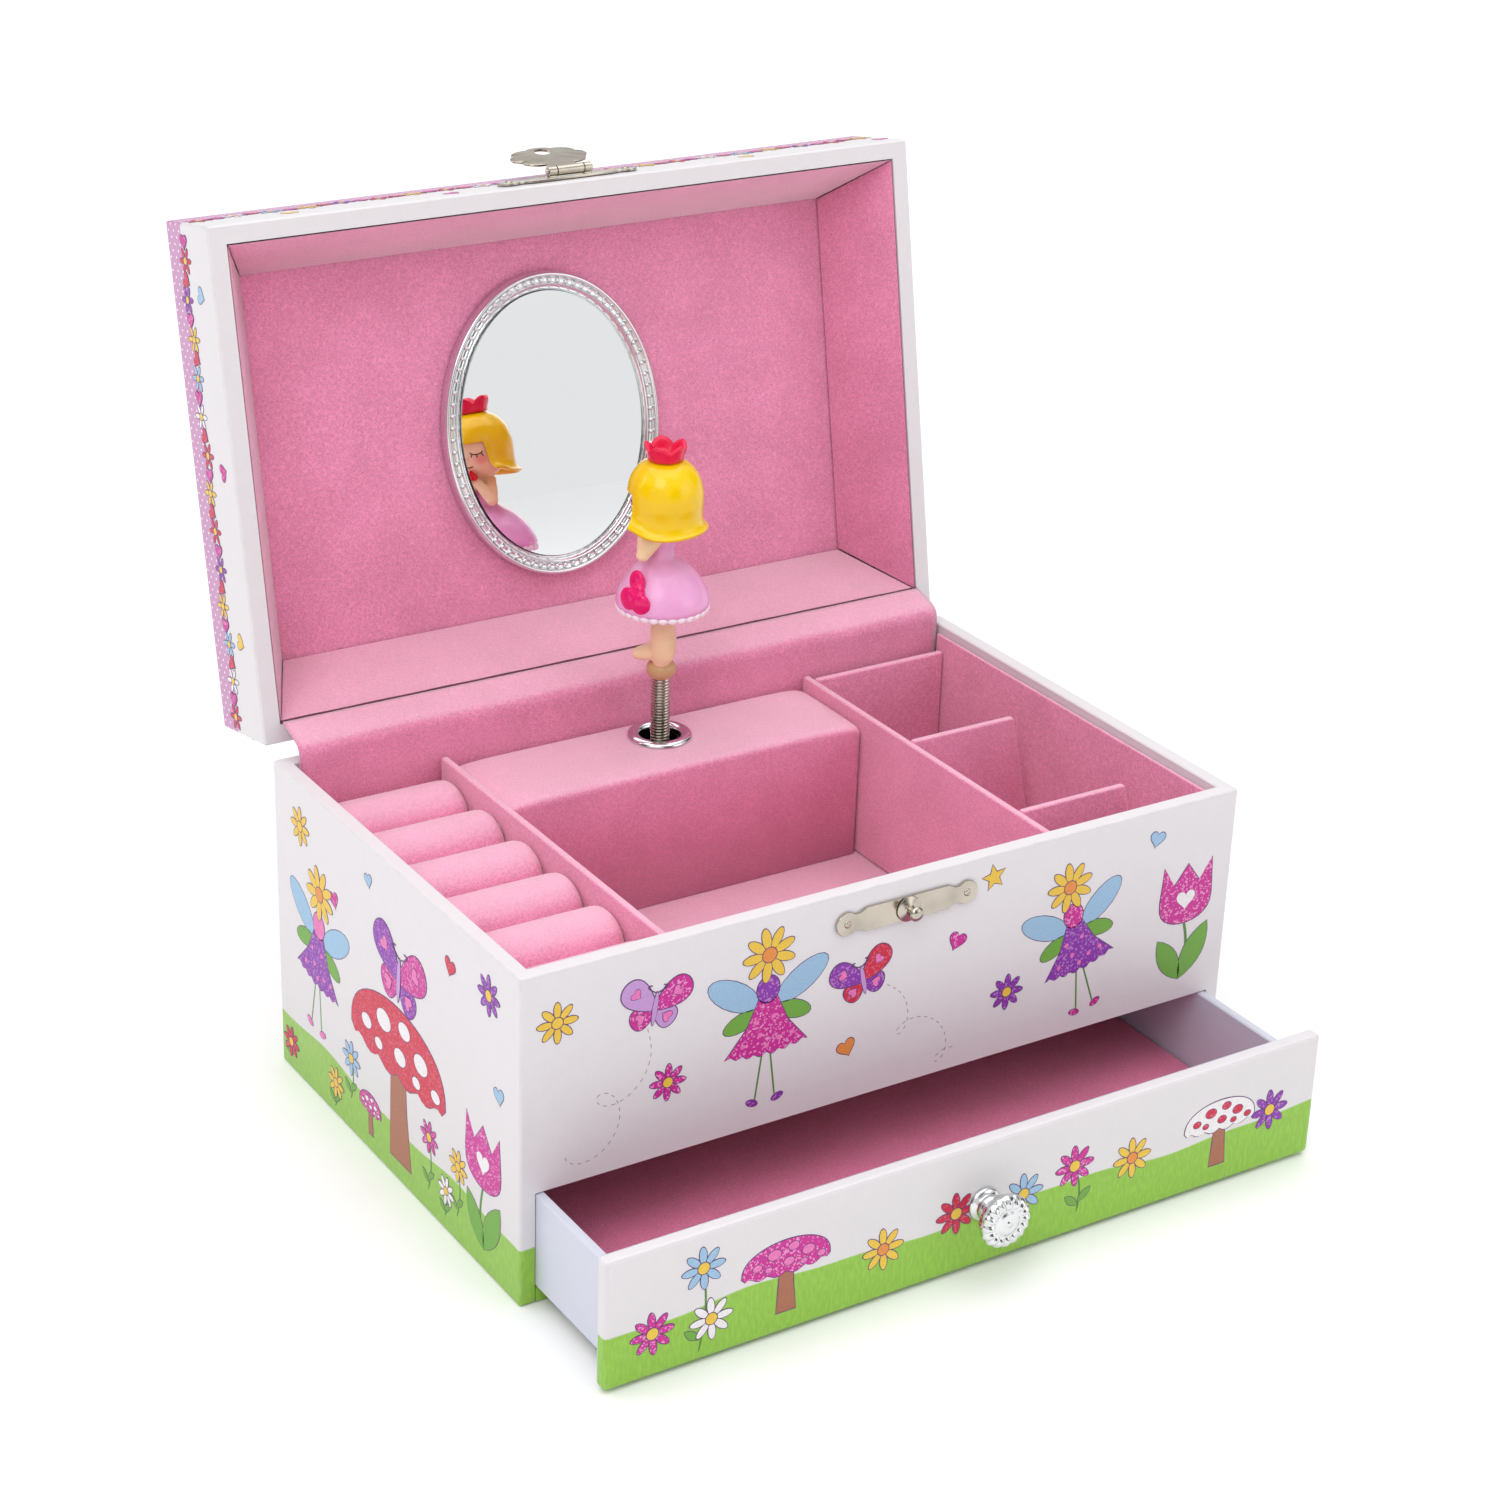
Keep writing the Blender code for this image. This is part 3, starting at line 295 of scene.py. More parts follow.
def flock_finish(name, base, pale):
    """Short pile: a fine speckle over soft patches where the pile leans, with a pale sheen; faces that
    point up are painted paler, a painted top light, scaled by the same amount as the sheen.
    """
    pile = sizes().pile
    finish = Finish(name, base, Sheen_Weight=pale, Sheen_Roughness=0.4,
                    Sheen_Tint=(1, 0.88, 0.92, 1), Specular_IOR_Level=0.15)
    speckle = finish.noise(pile, 3.0)
    lean = finish.noise(38 * pile, 2.0)
    fleck = finish.cells(2.2 * pile)
    amount = speckle * 1.1 + lean * 0.35 + fleck * 0.25 - 0.37
    paint = finish.mix(amount.step(0.1, 0.95), darker(base, 0.7),
                       tuple(min(c * 1.18 + 0.02, 1) for c in base))
    # Painted top light: faces whose normal points up are mixed towards a pale pink, more where the sheen
    # is stronger.
    painted_top_light = finish.axes(finish.add("TexCoord", output="Normal"))[2]
    finish.feed("Base Color", finish.mix(painted_top_light.step(0.4, 0.95) * 0.34 * pale, paint, (0.88, 0.66, 0.74)))
    finish.feed("Roughness", speckle * 0.2 + 0.78)
    finish.bump(speckle + finish.noise(pile / 2.5, 1.0) * 0.5, 0.22 * MM)
    return finish.material


def edge_distance(finish, place, low, high):
    """Distance to the nearest edge of a block, for a point on its surface: with gaps a, b and c to
    the nearest face along each axis, it is (ab + bc + ca) / (a + b + c)."""
    gaps = []
    for number, axis in enumerate(finish.axes(place)):
        middle = float(low[number] + high[number]) / 2
        half = float(high[number] - low[number]) / 2
        gaps.append((half - abs(axis - middle)).math("MAXIMUM", 0.0))
    a, b, c = gaps
    return (a * b + b * c + c * a) / (a + b + c + 0.01 * MM)


def papered(name, base, gloss=0.38):
    """Satin paper over board: faint fibres, a slight orange peel from the glue."""
    finish = Finish(name, base, Coat_Weight=0.12, Coat_Roughness=0.25, Specular_IOR_Level=0.45)
    fibre = finish.noise(0.9 * MM, 4.0, finish.mapped(scale=(1, 1, 0.45)))
    peel = finish.noise(6 * MM, 2.0)
    finish.feed("Roughness", fibre * 0.12 + peel * 0.1 + (gloss - 0.1))
    finish.bump(fibre * 0.4 + peel, 0.05 * MM)
    return finish, fibre * 0.05 + peel * 0.04 + 0.955


def scuffed(finish, paint, place, low, high):
    """Paper rubbed grey in short stretches along its folded edges."""
    gap = edge_distance(finish, place, low, high)
    rub = finish.noise(5 * MM, 3.0) * 1.2 - 0.2
    amount = (1 - gap.step(0.15 * MM, 0.9 * MM)) * rub.step(0.25, 0.75) * 0.4
    return finish.mix(amount, paint, (0.52, 0.49, 0.47))


def grass_mask(along, high):
    """1 below a gently rolling line at the grass's height."""
    roll = (along * 62).math("SINE") * 1.1 * MM + (along * 145 + 1).math("SINE") * 0.5 * MM
    return 1 - (high - roll).step(18.9 * MM, 19.5 * MM)


def grassy(finish, tone, along, high):
    """Paper above, printed grass below with a brushed texture."""
    blade = finish.noise(2.4 * MM, 3.0, finish.mapped(scale=(2.4, 2.4, 0.7)))
    grass = finish.mix(blade.step(0.35, 0.7), darker(colours().grass, 0.86), colours().grass)
    return finish.mix(grass_mask(along, high), finish.shade(tone), grass)


def case_paper_finish():
    """White paper over printed grass, rubbed at the case's edges."""
    finish, tone = papered("case_paper", colours().paper)
    x, y, z = finish.axes()
    paint = grassy(finish, tone, x + y, z)
    finish.feed("Base Color", scuffed(finish, paint, None, CASE_LOW, CASE_HIGH))
    return finish.material


def drawer_paper_finish():
    """The case's paper outside and plain lilac inside."""
    low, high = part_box("drawer_front")
    finish, tone = papered("drawer_front_paper", colours().paper)
    x, y, z = finish.axes()
    paint = grassy(finish, tone, x, z)
    inside = y > high[1] - 1 * MM
    paint = finish.mix(inside, paint, colours().lilac_board)
    finish.feed("Base Color", scuffed(finish, paint, None, low, high))
    return finish.material


def lid_paper_finish():
    """White sides, with dotted lavender from the border line over the top."""
    joint = JOINTS["lid_hinge"]
    turn = math.radians(joint["range_deg"][1])
    pivot = np.array(joint["pos_m"])
    shift = pivot - np.array(Matrix.Rotation(turn, 3, "X")) @ pivot
    finish, tone = papered("lid_paper", colours().paper)
    place = finish.mapped(turn=(turn, 0, 0), shift=tuple(shift))
    x, y, z = finish.axes(place)
    wave = ((x + y) * 190).math("SINE") * 1.0 * MM
    border = (z + wave).step(BORDER_Z - 0.2 * MM, BORDER_Z + 0.2 * MM)
    dot = dots((x, y, z), 4.2 * MM, 0.13)
    lavender = finish.mix(dot, colours().lavender, (0.88, 0.84, 0.88))
    paint = finish.mix(border, finish.shade(tone), lavender)
    finish.feed("Base Color", scuffed(finish, paint, place, LID_LOW, LID_HIGH))
    return finish.material


def dots(axes, pitch, size):
    """Round spots in staggered rows, at pitch: on each face the two axes in its plane make a
    lattice turned by 45 degrees, and the nearest spot is found with the fractions of their sum
    and difference."""
    x, y, z = axes
    across = x + (y - x) * (abs(abs(x) - LID_HIGH[0]) < 0.6 * MM)
    along = z + (y - z) * (z > LID_HIGH[2] - 0.6 * MM)
    total = ((across + along) / pitch).math("FRACT") - 0.5
    change = ((across - along) / pitch).math("FRACT") - 0.5
    return 1 - (total * total + change * change).math("SQRT").step(size - 0.03, size + 0.03)


def plain_paper_finish(name, base):
    """Unprinted satin paper."""
    finish, tone = papered(name, base, 0.45)
    finish.feed("Base Color", finish.shade(tone))
    return finish.material


def board_finish():
    """Grey card: coarse fibres and darker flecks."""
    finish = Finish("grey_board", (0.42, 0.38, 0.33), Specular_IOR_Level=0.2)
    fibre = finish.noise(1.2 * MM, 5.0)
    finish.feed("Base Color", finish.shade(fibre * 0.5 + 0.75))
    finish.feed("Roughness", fibre * 0.2 + 0.7)
    finish.bump(fibre, 0.15 * MM)
    return finish.material


def ink_finish():
    """Printed ink: its colour comes with the shapes, and so does how much glitter it holds. Glitter
    flakes are real, but their paler pink is a painted glint.
    """
    finish = Finish("printed_ink", (1, 1, 1), Specular_IOR_Level=0.4, Coat_Roughness=0.2)
    ink = finish.add("Attribute", {"attribute_name": "ink"})
    outputs = ink.socket.node.outputs
    glitter = Value(finish, outputs["Alpha"])
    grain = finish.noise(0.7 * MM, 3.0)
    spark = finish.add("SeparateColor", None, {0: finish.cells(0.55 * MM, 1)})
    # Glitter flakes in random cells: glossier and mixed towards pale pink, the pale pink a painted glint.
    bright = (spark > 0.8) * glitter * 0.5
    shadow = (grain * 0.35) * (1 - glitter * 0.2)
    paint = finish.mix(shadow, ink, (0.08, 0.02, 0.09))
    paint = finish.mix(bright, paint, (1.0, 0.55, 0.85))
    finish.feed("Base Color", paint)
    finish.feed("Roughness", grain * 0.15 + 0.34 - bright * 0.3)
    finish.bump(grain + spark * glitter, 0.04 * MM)
    return finish.material


def metal_finish(name, base, rough, streak=(1, 1, 1), tarnish=0.25, dent=0.03 * MM):
    """Plated metal: fine streaks in the gloss, soft tarnish and a few small dents."""
    grain = 1.5 * MM
    finish = Finish(name, base, Metallic=1.0)
    fine = finish.noise(grain, 4.0, finish.mapped(scale=streak))
    cloud = finish.noise(7 * grain, 2.0)
    finish.feed("Base Color", finish.mix(cloud.step(0.35, 0.75) * tarnish, base, darker(base, 0.55)))
    finish.feed("Roughness", fine * rough * 0.7 + cloud * rough * 0.5 + rough * 0.4)
    finish.bump(fine + cloud * 0.6, dent)
    return finish.material


def mirror_finish():
    """Silvered glass with the faintest smears."""
    finish = Finish("mirror_silver", (0.96, 0.97, 0.98), Metallic=1.0)
    smear = finish.noise(9 * MM, 3.0)
    finish.feed("Roughness", smear.step(0.5, 0.9) * 0.03 + 0.012)
    finish.feed("Base Color", finish.mix(smear.step(0.55, 0.8) * 0.05, finish.base, (0.7, 0.74, 0.76)))
    return finish.material


def moulded_finish(name, base, rough):
    """Glossy moulded and sprayed plastic: slight mottling, orange peel and a few dull spots."""
    finish = Finish(name, base, Coat_Weight=0.15, Coat_Roughness=0.08, Subsurface_Weight=0.08,
                    Subsurface_Scale=1.5 * MM, Specular_IOR_Level=0.35)
    cloud = finish.noise(3.5 * MM, 3.0)
    fine = finish.noise(0.6 * MM, 2.0)
    finish.feed("Roughness", cloud * 0.12 + fine * 0.05 + (rough - 0.08))
    finish.bump(cloud + fine * 0.3, 0.04 * MM)
    return finish, finish.shade(cloud * 0.14 + 0.93)


def plastic_finish(name, base, rough):
    """Moulded plastic in one mottled colour."""
    finish, paint = moulded_finish(name, base, rough)
    finish.feed("Base Color", paint)
    return finish.material


def skin_finish():
    """Skin plastic with a sprayed blush on each cheek."""
    finish, paint = moulded_finish("skin_plastic", colours().skin, 0.3)
    for side in (-1, 1):
        cheek = tuple(on_figure([[9.3, side * 5.2, 179.6]])[0])
        away = finish.add("VectorMath", {"operation": "DISTANCE"}, {0: finish.place, 1: cheek}, 1)
        paint = finish.mix((1 - away.step(0.8 * MM, 3.4 * MM)) * 0.6, paint, (0.85, 0.16, 0.16))
    finish.feed("Base Color", paint)
    return finish.material


def floor_finish():
    """Seamless pale card with a faint grain; from half a metre out it has a painted glow (emission), so
    that it runs into the backdrop.
    """
    finish = Finish("pale_floor", (0.9, 0.9, 0.9), Specular_IOR_Level=0.1, Emission_Strength=1.0)
    away = finish.add("VectorMath", {"operation": "LENGTH"}, {0: finish.place}, 1)
    # Painted glow: emission that rises from nothing at 0.5 m out to 0.2 at 1.5 m.
    lift = away.step(0.5, 1.5) * 0.2
    finish.feed("Emission Color", finish.mix(lift, (0, 0, 0), (1, 1, 1)))
    grain = finish.noise(30 * MM, 2.0)
    finish.feed("Base Color", finish.mix(grain, (0.96, 0.96, 0.96), (0.94, 0.94, 0.94)))
    finish.feed("Roughness", grain * 0.1 + 0.8)
    return finish.material


FINISH_MAKERS = {
    "flock": lambda: flock_finish("flock", colours().flock, 1.0),
    # The drawer's flock: a deeper copy painted as shade, with less sheen.
    "deep_flock": lambda: flock_finish("deep_flock", colours().deep_flock, 0.3),
    "case_paper": case_paper_finish,
    "drawer_paper": drawer_paper_finish,
    "lid_paper": lid_paper_finish,
    "lilac_paper": lambda: plain_paper_finish("lilac_paper", colours().lilac_board),
    "white_paper": lambda: plain_paper_finish("white_paper", colours().paper),
    "board": board_finish,
    # Dark maroon for the strip that stands in for the shadow gap at the lining's lower edge: painted
    # shadow.
    "cut_edge": lambda: plain_paper_finish("cut_edge", linear(92, 38, 56)),
    "ink": ink_finish,
    "nickel": lambda: metal_finish("nickel_plate", (0.53, 0.48, 0.41), 0.22, (1, 1, 3), tarnish=0.45),
    "silver": lambda: metal_finish("silvered_plastic", (0.76, 0.77, 0.78), 0.2, tarnish=0.15,
                                   dent=0.008 * MM),
    "chrome": lambda: metal_finish("chrome_plate", (0.74, 0.75, 0.76), 0.12, tarnish=0.2,
                                   dent=0.006 * MM),
    "steel": lambda: metal_finish("spring_steel", (0.56, 0.50, 0.44), 0.26, tarnish=0.35),
    "brass": lambda: metal_finish("brass", (0.78, 0.56, 0.24), 0.3, (1, 1, 4)),
    "mirror": mirror_finish,
    "skin": skin_finish,
    "floor": floor_finish,
}
# Screen colour, or the name of its setting, and roughness.
PLASTICS = {"hair": ("hair", 0.16), "skirt": ("skirt", 0.18), "crown": ("crown", 0.24),
            "bow": ((232, 16, 110), 0.2), "heart": ((222, 14, 30), 0.2), "trim": ((250, 240, 246), 0.3),
            # The socket is skin plastic in a darker tint: painted shade.
            "socket": ((206, 168, 122), 0.25), "lash": ((62, 28, 20), 0.4)}
made_finishes = {}


def finish_of(name):
    """The named finish, made once."""
    if name not in made_finishes:
        if name in PLASTICS:
            colour, rough = PLASTICS[name]
            base = getattr(colours(), colour) if isinstance(colour, str) else linear(*colour)
            made_finishes[name] = plastic_finish(f"{name}_plastic", base, rough)
        else:
            made_finishes[name] = FINISH_MAKERS[name]()
    return made_finishes[name]


# ---- surfaces ----
def grid(points, round_u=False, round_v=False, caps=False):
    """Quads between the neighbours of a (u, v) array of points; caps close the first and last row."""
    rows, columns = points.shape[:2]
    u, v = np.meshgrid(np.arange(rows if round_u else rows - 1),
                       np.arange(columns if round_v else columns - 1), indexing="ij")
    after_u, after_v = (u + 1) % rows, (v + 1) % columns
    quads = np.stack([u * columns + v, after_u * columns + v,
                      after_u * columns + after_v, u * columns + after_v], axis=-1)
    faces = quads.reshape(-1, 4).tolist()
    if caps:
        faces.append(list(range(columns)))
        faces.append(list(range((rows - 1) * columns, rows * columns))[::-1])
    return points.reshape(-1, 3), faces


def moved(shell, change):
    """A shell with its points changed by a function."""
    points, faces = shell
    return change(points), faces


def fill_mesh(name, shells):
    """One mesh from several shells."""
    counts = np.cumsum([0] + [len(points) for points, _ in shells])
    faces = [[corner + start for corner in face]
             for (_, shell_faces), start in zip(shells, counts) for face in shell_faces]
    mesh = bpy.data.meshes.new(name)
    mesh.from_pydata(np.concatenate([points for points, _ in shells]), [], faces)
    return mesh


def make_piece(name, shells, finish, body=None, stands_for=(), smooth=35, weld=True):
    """A finished piece in its place, riding on a body."""
    mesh = fill_mesh(name, shells)
    if weld:
        bm = bmesh.new()
        bm.from_mesh(mesh)
        bmesh.ops.remove_doubles(bm, verts=bm.verts, dist=0.002 * MM)
        bmesh.ops.dissolve_degenerate(bm, edges=bm.edges, dist=0.001 * MM)
        bmesh.ops.recalc_face_normals(bm, faces=bm.faces)
        bm.to_mesh(mesh)
        bm.free()
    if smooth:
        mesh.shade_smooth()
        mesh.set_sharp_from_angle(angle=math.radians(smooth))
    mesh.materials.append(finish_of(finish))
    piece = bpy.data.objects.new(name, mesh)
    bpy.context.scene.collection.objects.link(piece)
    if stands_for:
        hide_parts(*stands_for)
    if body:
        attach(piece, body)
    return piece


def bake_modifiers(piece):
    """Turn a piece's modifiers into its mesh."""
    graph = bpy.context.evaluated_depsgraph_get()
    mesh = bpy.data.meshes.new_from_object(piece.evaluated_get(graph))
    piece.modifiers.clear()
    old = piece.data
    piece.data = mesh
    bpy.data.meshes.remove(old)


def soften(piece, width, segments=3):
    """Round a piece's sharp edges."""
    bevel = piece.modifiers.new("soft_edges", "BEVEL")
    bevel.width = width
    bevel.segments = segments
    bevel.limit_method = "ANGLE"
    bevel.angle_limit = math.radians(30)
    bake_modifiers(piece)
    piece.data.shade_smooth()
    piece.data.set_sharp_from_angle(angle=math.radians(50))


def fuse(piece, voxel, passes=4):
    """Overlapping shells become one moulded skin: a voxel remesh, then a little smoothing."""
    remesh = piece.modifiers.new("fuse", "REMESH")
    remesh.mode = "VOXEL"
    remesh.voxel_size = voxel
    smooth = piece.modifiers.new("ease", "SMOOTH")
    smooth.iterations = passes
    smooth.factor = 0.5
    bake_modifiers(piece)
    piece.data.shade_smooth()


def swell(piece, voxel, furthest):
    """Padded cloth: remeshed, blown up by air pressure without gravity, and held within a limit."""
    fuse(piece, voxel, 2)
    start = vertex_places(piece.data)
    cloth = piece.modifiers.new("swell", "CLOTH")
    cloth.settings.quality = 5
    cloth.settings.use_pressure = True
    cloth.settings.uniform_pressure_force = 4
    cloth.settings.effector_weights.gravity = 0
    scene = bpy.context.scene
    for number in range(1, 21):
        scene.frame_set(number)
    graph = bpy.context.evaluated_depsgraph_get()
    blown = vertex_places(piece.evaluated_get(graph).data)
    scene.frame_set(1)
    piece.modifiers.clear()
    shift = blown - start
    far = np.linalg.norm(shift, axis=1, keepdims=True)
    held = start + shift * np.minimum(1, furthest / np.maximum(far, 1e-9))
    piece.data.vertices.foreach_set("co", held.ravel())
    refine = piece.modifiers.new("refine", "SUBSURF")
    refine.levels = 1
    refine.render_levels = 1
    bake_modifiers(piece)
    piece.data.shade_smooth()


def vertex_places(mesh):
    points = np.empty(len(mesh.vertices) * 3)
    mesh.vertices.foreach_get("co", points)
    return points.reshape(-1, 3)


def round_rectangle(half, corner, steps=6):
    """Closed outline: a quarter arc at each corner, counter-clockwise from +X."""
    quarter = np.repeat(np.arange(4), steps)
    turn = (quarter + np.tile(np.linspace(0, 1, steps), 4)) * math.pi / 2
    side = np.array([[1, 1], [-1, 1], [-1, -1], [1, -1]])[quarter]
    centre = side * (np.asarray(half) - corner)
    return centre + corner * np.stack([np.cos(turn), np.sin(turn)], axis=1)


def stacked(low, high, profile, corner=1.2 * MM, steps=6):
    """A rounded rectangle at each (inset, height) of a profile, one above the other."""
    middle = (np.asarray(low) + high) / 2
    half = (np.asarray(high) - low) / 2
    rows = []
    for inset, height in profile:
        outline = round_rectangle(half[:2] - inset, max(corner - inset, 0.1 * MM), steps)
        rows.append(np.column_stack([outline + middle[:2], np.full(len(outline), height)]))
    return np.array(rows)


def rounded_edge(low, high, edge, steps=4):
    """(inset, height) pairs: quarter-round, straight side, quarter-round."""
    turn = np.linspace(0, math.pi / 2, steps)
    rise = [(edge * (1 - math.sin(a)), low + edge * (1 - math.cos(a))) for a in turn]
    return rise + [(inset, high + low - height) for inset, height in rise[::-1]]


def slab(low, high, edge):
    """A block with rounded edges."""
    profile = rounded_edge(low[2], high[2], edge)
    return grid(stacked(low, high, profile, edge), round_v=True, caps=True)


AXIS_TURN = {
    "X": Matrix.Rotation(math.pi / 2, 3, "Y"),
    "Y": Matrix.Rotation(-math.pi / 2, 3, "X"),
    "-Y": Matrix.Rotation(math.pi / 2, 3, "X"),
    "Z": Matrix.Identity(3),
}


def lathe(profile, centre, axis="Z", sides=48, ripple=None, closed=False):
    """(radius, height) pairs swept round an axis.  A ripple multiplies the radius by angle."""
    profile = np.asarray(profile, float)
    turn = np.linspace(0, 2 * math.pi, sides, endpoint=False)
    swing = np.ones((len(profile), sides)) if ripple is None else ripple(profile, turn)
    radius = profile[:, :1] * swing
    points = np.stack([radius * np.cos(turn), radius * np.sin(turn),
                       np.repeat(profile[:, 1:], sides, axis=1)], axis=-1)
    return grid(points @ np.array(AXIS_TURN[axis]).T + centre, closed, True)


def tube(path, radius, sides=10):
    """Circles carried along a path, square to it, with flat ends."""
    path = np.asarray(path, float)
    along = np.gradient(path, axis=0)
    along /= np.linalg.norm(along, axis=1, keepdims=True)
    guide = np.eye(3)[np.argmin(np.abs(along).max(axis=0))]
    side = np.cross(along, guide)
    side /= np.linalg.norm(side, axis=1, keepdims=True)
    up = np.cross(side, along)
    turn = np.linspace(0, 2 * math.pi, sides, endpoint=False)
    ring = np.cos(turn)[:, None] * side[:, None] + np.sin(turn)[:, None] * up[:, None]
    radius = np.broadcast_to(np.asarray(radius, float), len(path))
    return grid(path[:, None] + radius[:, None, None] * ring, round_v=True, caps=True)


def limb(start, end, start_radius, end_radius):
    """A rounded limb: radius runs from one end to the other, falling as a circle at the tips."""
    start, end = np.asarray(start, float), np.asarray(end, float)
    length = np.linalg.norm(end - start)
    turn = np.linspace(0, math.pi, 14)
    share = (1 - np.cos(turn)) / 2
    reach = start - (end - start) / length * start_radius
    finish_at = end + (end - start) / length * end_radius
    path = reach + share[:, None] * (finish_at - reach)
    radius = (start_radius + (end_radius - start_radius) * share) * np.sin(turn) ** 0.45
    return tube(path, np.maximum(radius, 0.02 * MM), 16)


def ellipsoid(centre, radii, frame_of=None, rings=16, sides=24):
    """A ball scaled along three directions, the rows of frame_of."""
    up = np.linspace(0, math.pi, rings)[:, None]
    turn = np.linspace(0, 2 * math.pi, sides, endpoint=False)[None]
    ball = np.stack([np.sin(up) * np.cos(turn), np.sin(up) * np.sin(turn),
                     np.cos(up) * np.ones_like(turn)], axis=-1) * np.asarray(radii)
    directions = np.eye(3) if frame_of is None else np.asarray(frame_of)
    return grid(ball @ directions + centre, False, True)


def cut_sheet(outline, thick):
    """A flat closed outline with thickness, its upper and lower edges just eased."""
    edge = 0.12 * MM
    along = np.roll(outline, -1, axis=0) - np.roll(outline, 1, axis=0)
    along /= np.linalg.norm(along, axis=1, keepdims=True)
    inward = np.stack([-along[:, 1], along[:, 0]], axis=1)
    rows = [(edge, 0), (0, edge), (0, thick - edge), (edge, thick)]
    points = [np.column_stack([outline + inward * inset, np.full(len(outline), height)])
              for inset, height in rows]
    return grid(np.array(points), round_v=True, caps=True)


def upright(points, place):
    """A sheet's x, y and thickness become world X, Z and -Y, from a place."""
    return points @ np.array([[1, 0, 0], [0, 0, 1], [0, -1, 0]]) + place


# ---- stage ----
def studio_world():
    """A bright tent, pale overhead and at the horizon, with four dark gaps between."""
    world = bpy.data.worlds.new("studio")
    world.use_nodes = True
    nodes, links = world.node_tree.nodes, world.node_tree.links
    background = nodes["Background"]
    background.inputs["Strength"].default_value = 0.8

    def ramp(source, *values):
        """Eased from the third value to the fourth while the source goes from the first to the second."""
        node = nodes.new("ShaderNodeMapRange")
        node.interpolation_type = "SMOOTHSTEP"
        for socket, value in enumerate(values, 1):
            node.inputs[socket].default_value = value
        links.new(source, node.inputs[0])
        return node.outputs[0]

    def blend(factor, first, second):
        node = nodes.new("ShaderNodeMix")
        links.new(factor, node.inputs[0])
        links.new(first, node.inputs[2])
        node.inputs[3].default_value = second
        return node.outputs[0]

    place = nodes.new("ShaderNodeTexCoord").outputs["Generated"]
    bands = nodes.new("ShaderNodeTexGradient")
    bands.gradient_type = "RADIAL"
    wave = nodes.new("ShaderNodeMath")
    wave.operation = "PINGPONG"
    wave.inputs[1].default_value = 0.125
    parts = nodes.new("ShaderNodeSeparateXYZ")
    links.new(place, bands.inputs[0])
    links.new(bands.outputs["Fac"], wave.inputs[0])
    links.new(place, parts.inputs[0])
    rise = parts.outputs["Z"]
    tent = blend(ramp(rise, 0.35, 0.75, 0, 1), ramp(wave.outputs[0], 0.03, 0.06, 0.10, 1.0), 0.85)
    tent = blend(ramp(rise, 0.0, 0.12, 1, 0), tent, 1.0)
    links.new(tent, background.inputs["Color"])
    return world


class JEWELLERY_OT_stage(bpy.types.Operator):
    """Pale floor, soft studio lights and the camera"""
    bl_idname = "jewellery.stage"
    bl_label = "Stage"

    def execute(self, context):
        scene = context.scene
        half = 6.0
        floor = make_piece("floor", [grid(np.array([[[-half, -half, 0], [-half, half, 0]],
                                                    [[half, -half, 0], [half, half, 0]]], float)
                                          - [0, 0, 0.3 * MM])], "floor", smooth=0, weld=False)
        scene.world = studio_world()
        scene.view_settings.view_transform = "Standard"
        for name, place, size, power in (("key", (-1.2, -1.0, 1.7), 1.1, 11),
                                         ("top", (0.1, 0.2, 2.4), 3.0, 40),
                                         ("fill", (1.4, -1.7, 0.9), 1.2, 4),
                                         ("rear", (-1.5, 0.9, 1.2), 0.8, 4)):
            data = bpy.data.lights.new(name, "AREA")
            data.size = size
            data.energy = power
            lamp = bpy.data.objects.new(name, data)
            scene.collection.objects.link(lamp)
            aim = Vector((0, 0, 0.12)) - Vector(place)
            lamp.location = place
            lamp.rotation_euler = aim.to_track_quat("-Z", "Y").to_euler()
        self.add_camera(scene)
        return {"FINISHED"}

    def add_camera(self, scene):
        """A long lens that looks down on the front left corner."""
        heading, tilt, roll = (math.radians(a) for a in (32.98, 24.69, 1.96))
        ahead = np.array([math.cos(tilt) * math.sin(heading), math.cos(tilt) * math.cos(heading),
                          -math.sin(tilt)])
        level = np.array([math.cos(heading), -math.sin(heading), 0])
        above = np.cross(level, ahead)
        right = level * math.cos(roll) + above * math.sin(roll)
        data = bpy.data.cameras.new("camera")
        data.sensor_width = 36
        data.lens = 75.96
        camera = bpy.data.objects.new("camera", data)
        scene.collection.objects.link(camera)
        place = Matrix(np.column_stack([right, np.cross(right, ahead), -ahead])).to_4x4()
        place.translation = (-0.49885, -0.76447, 0.53727)
        camera.matrix_world = place
        scene.camera = camera


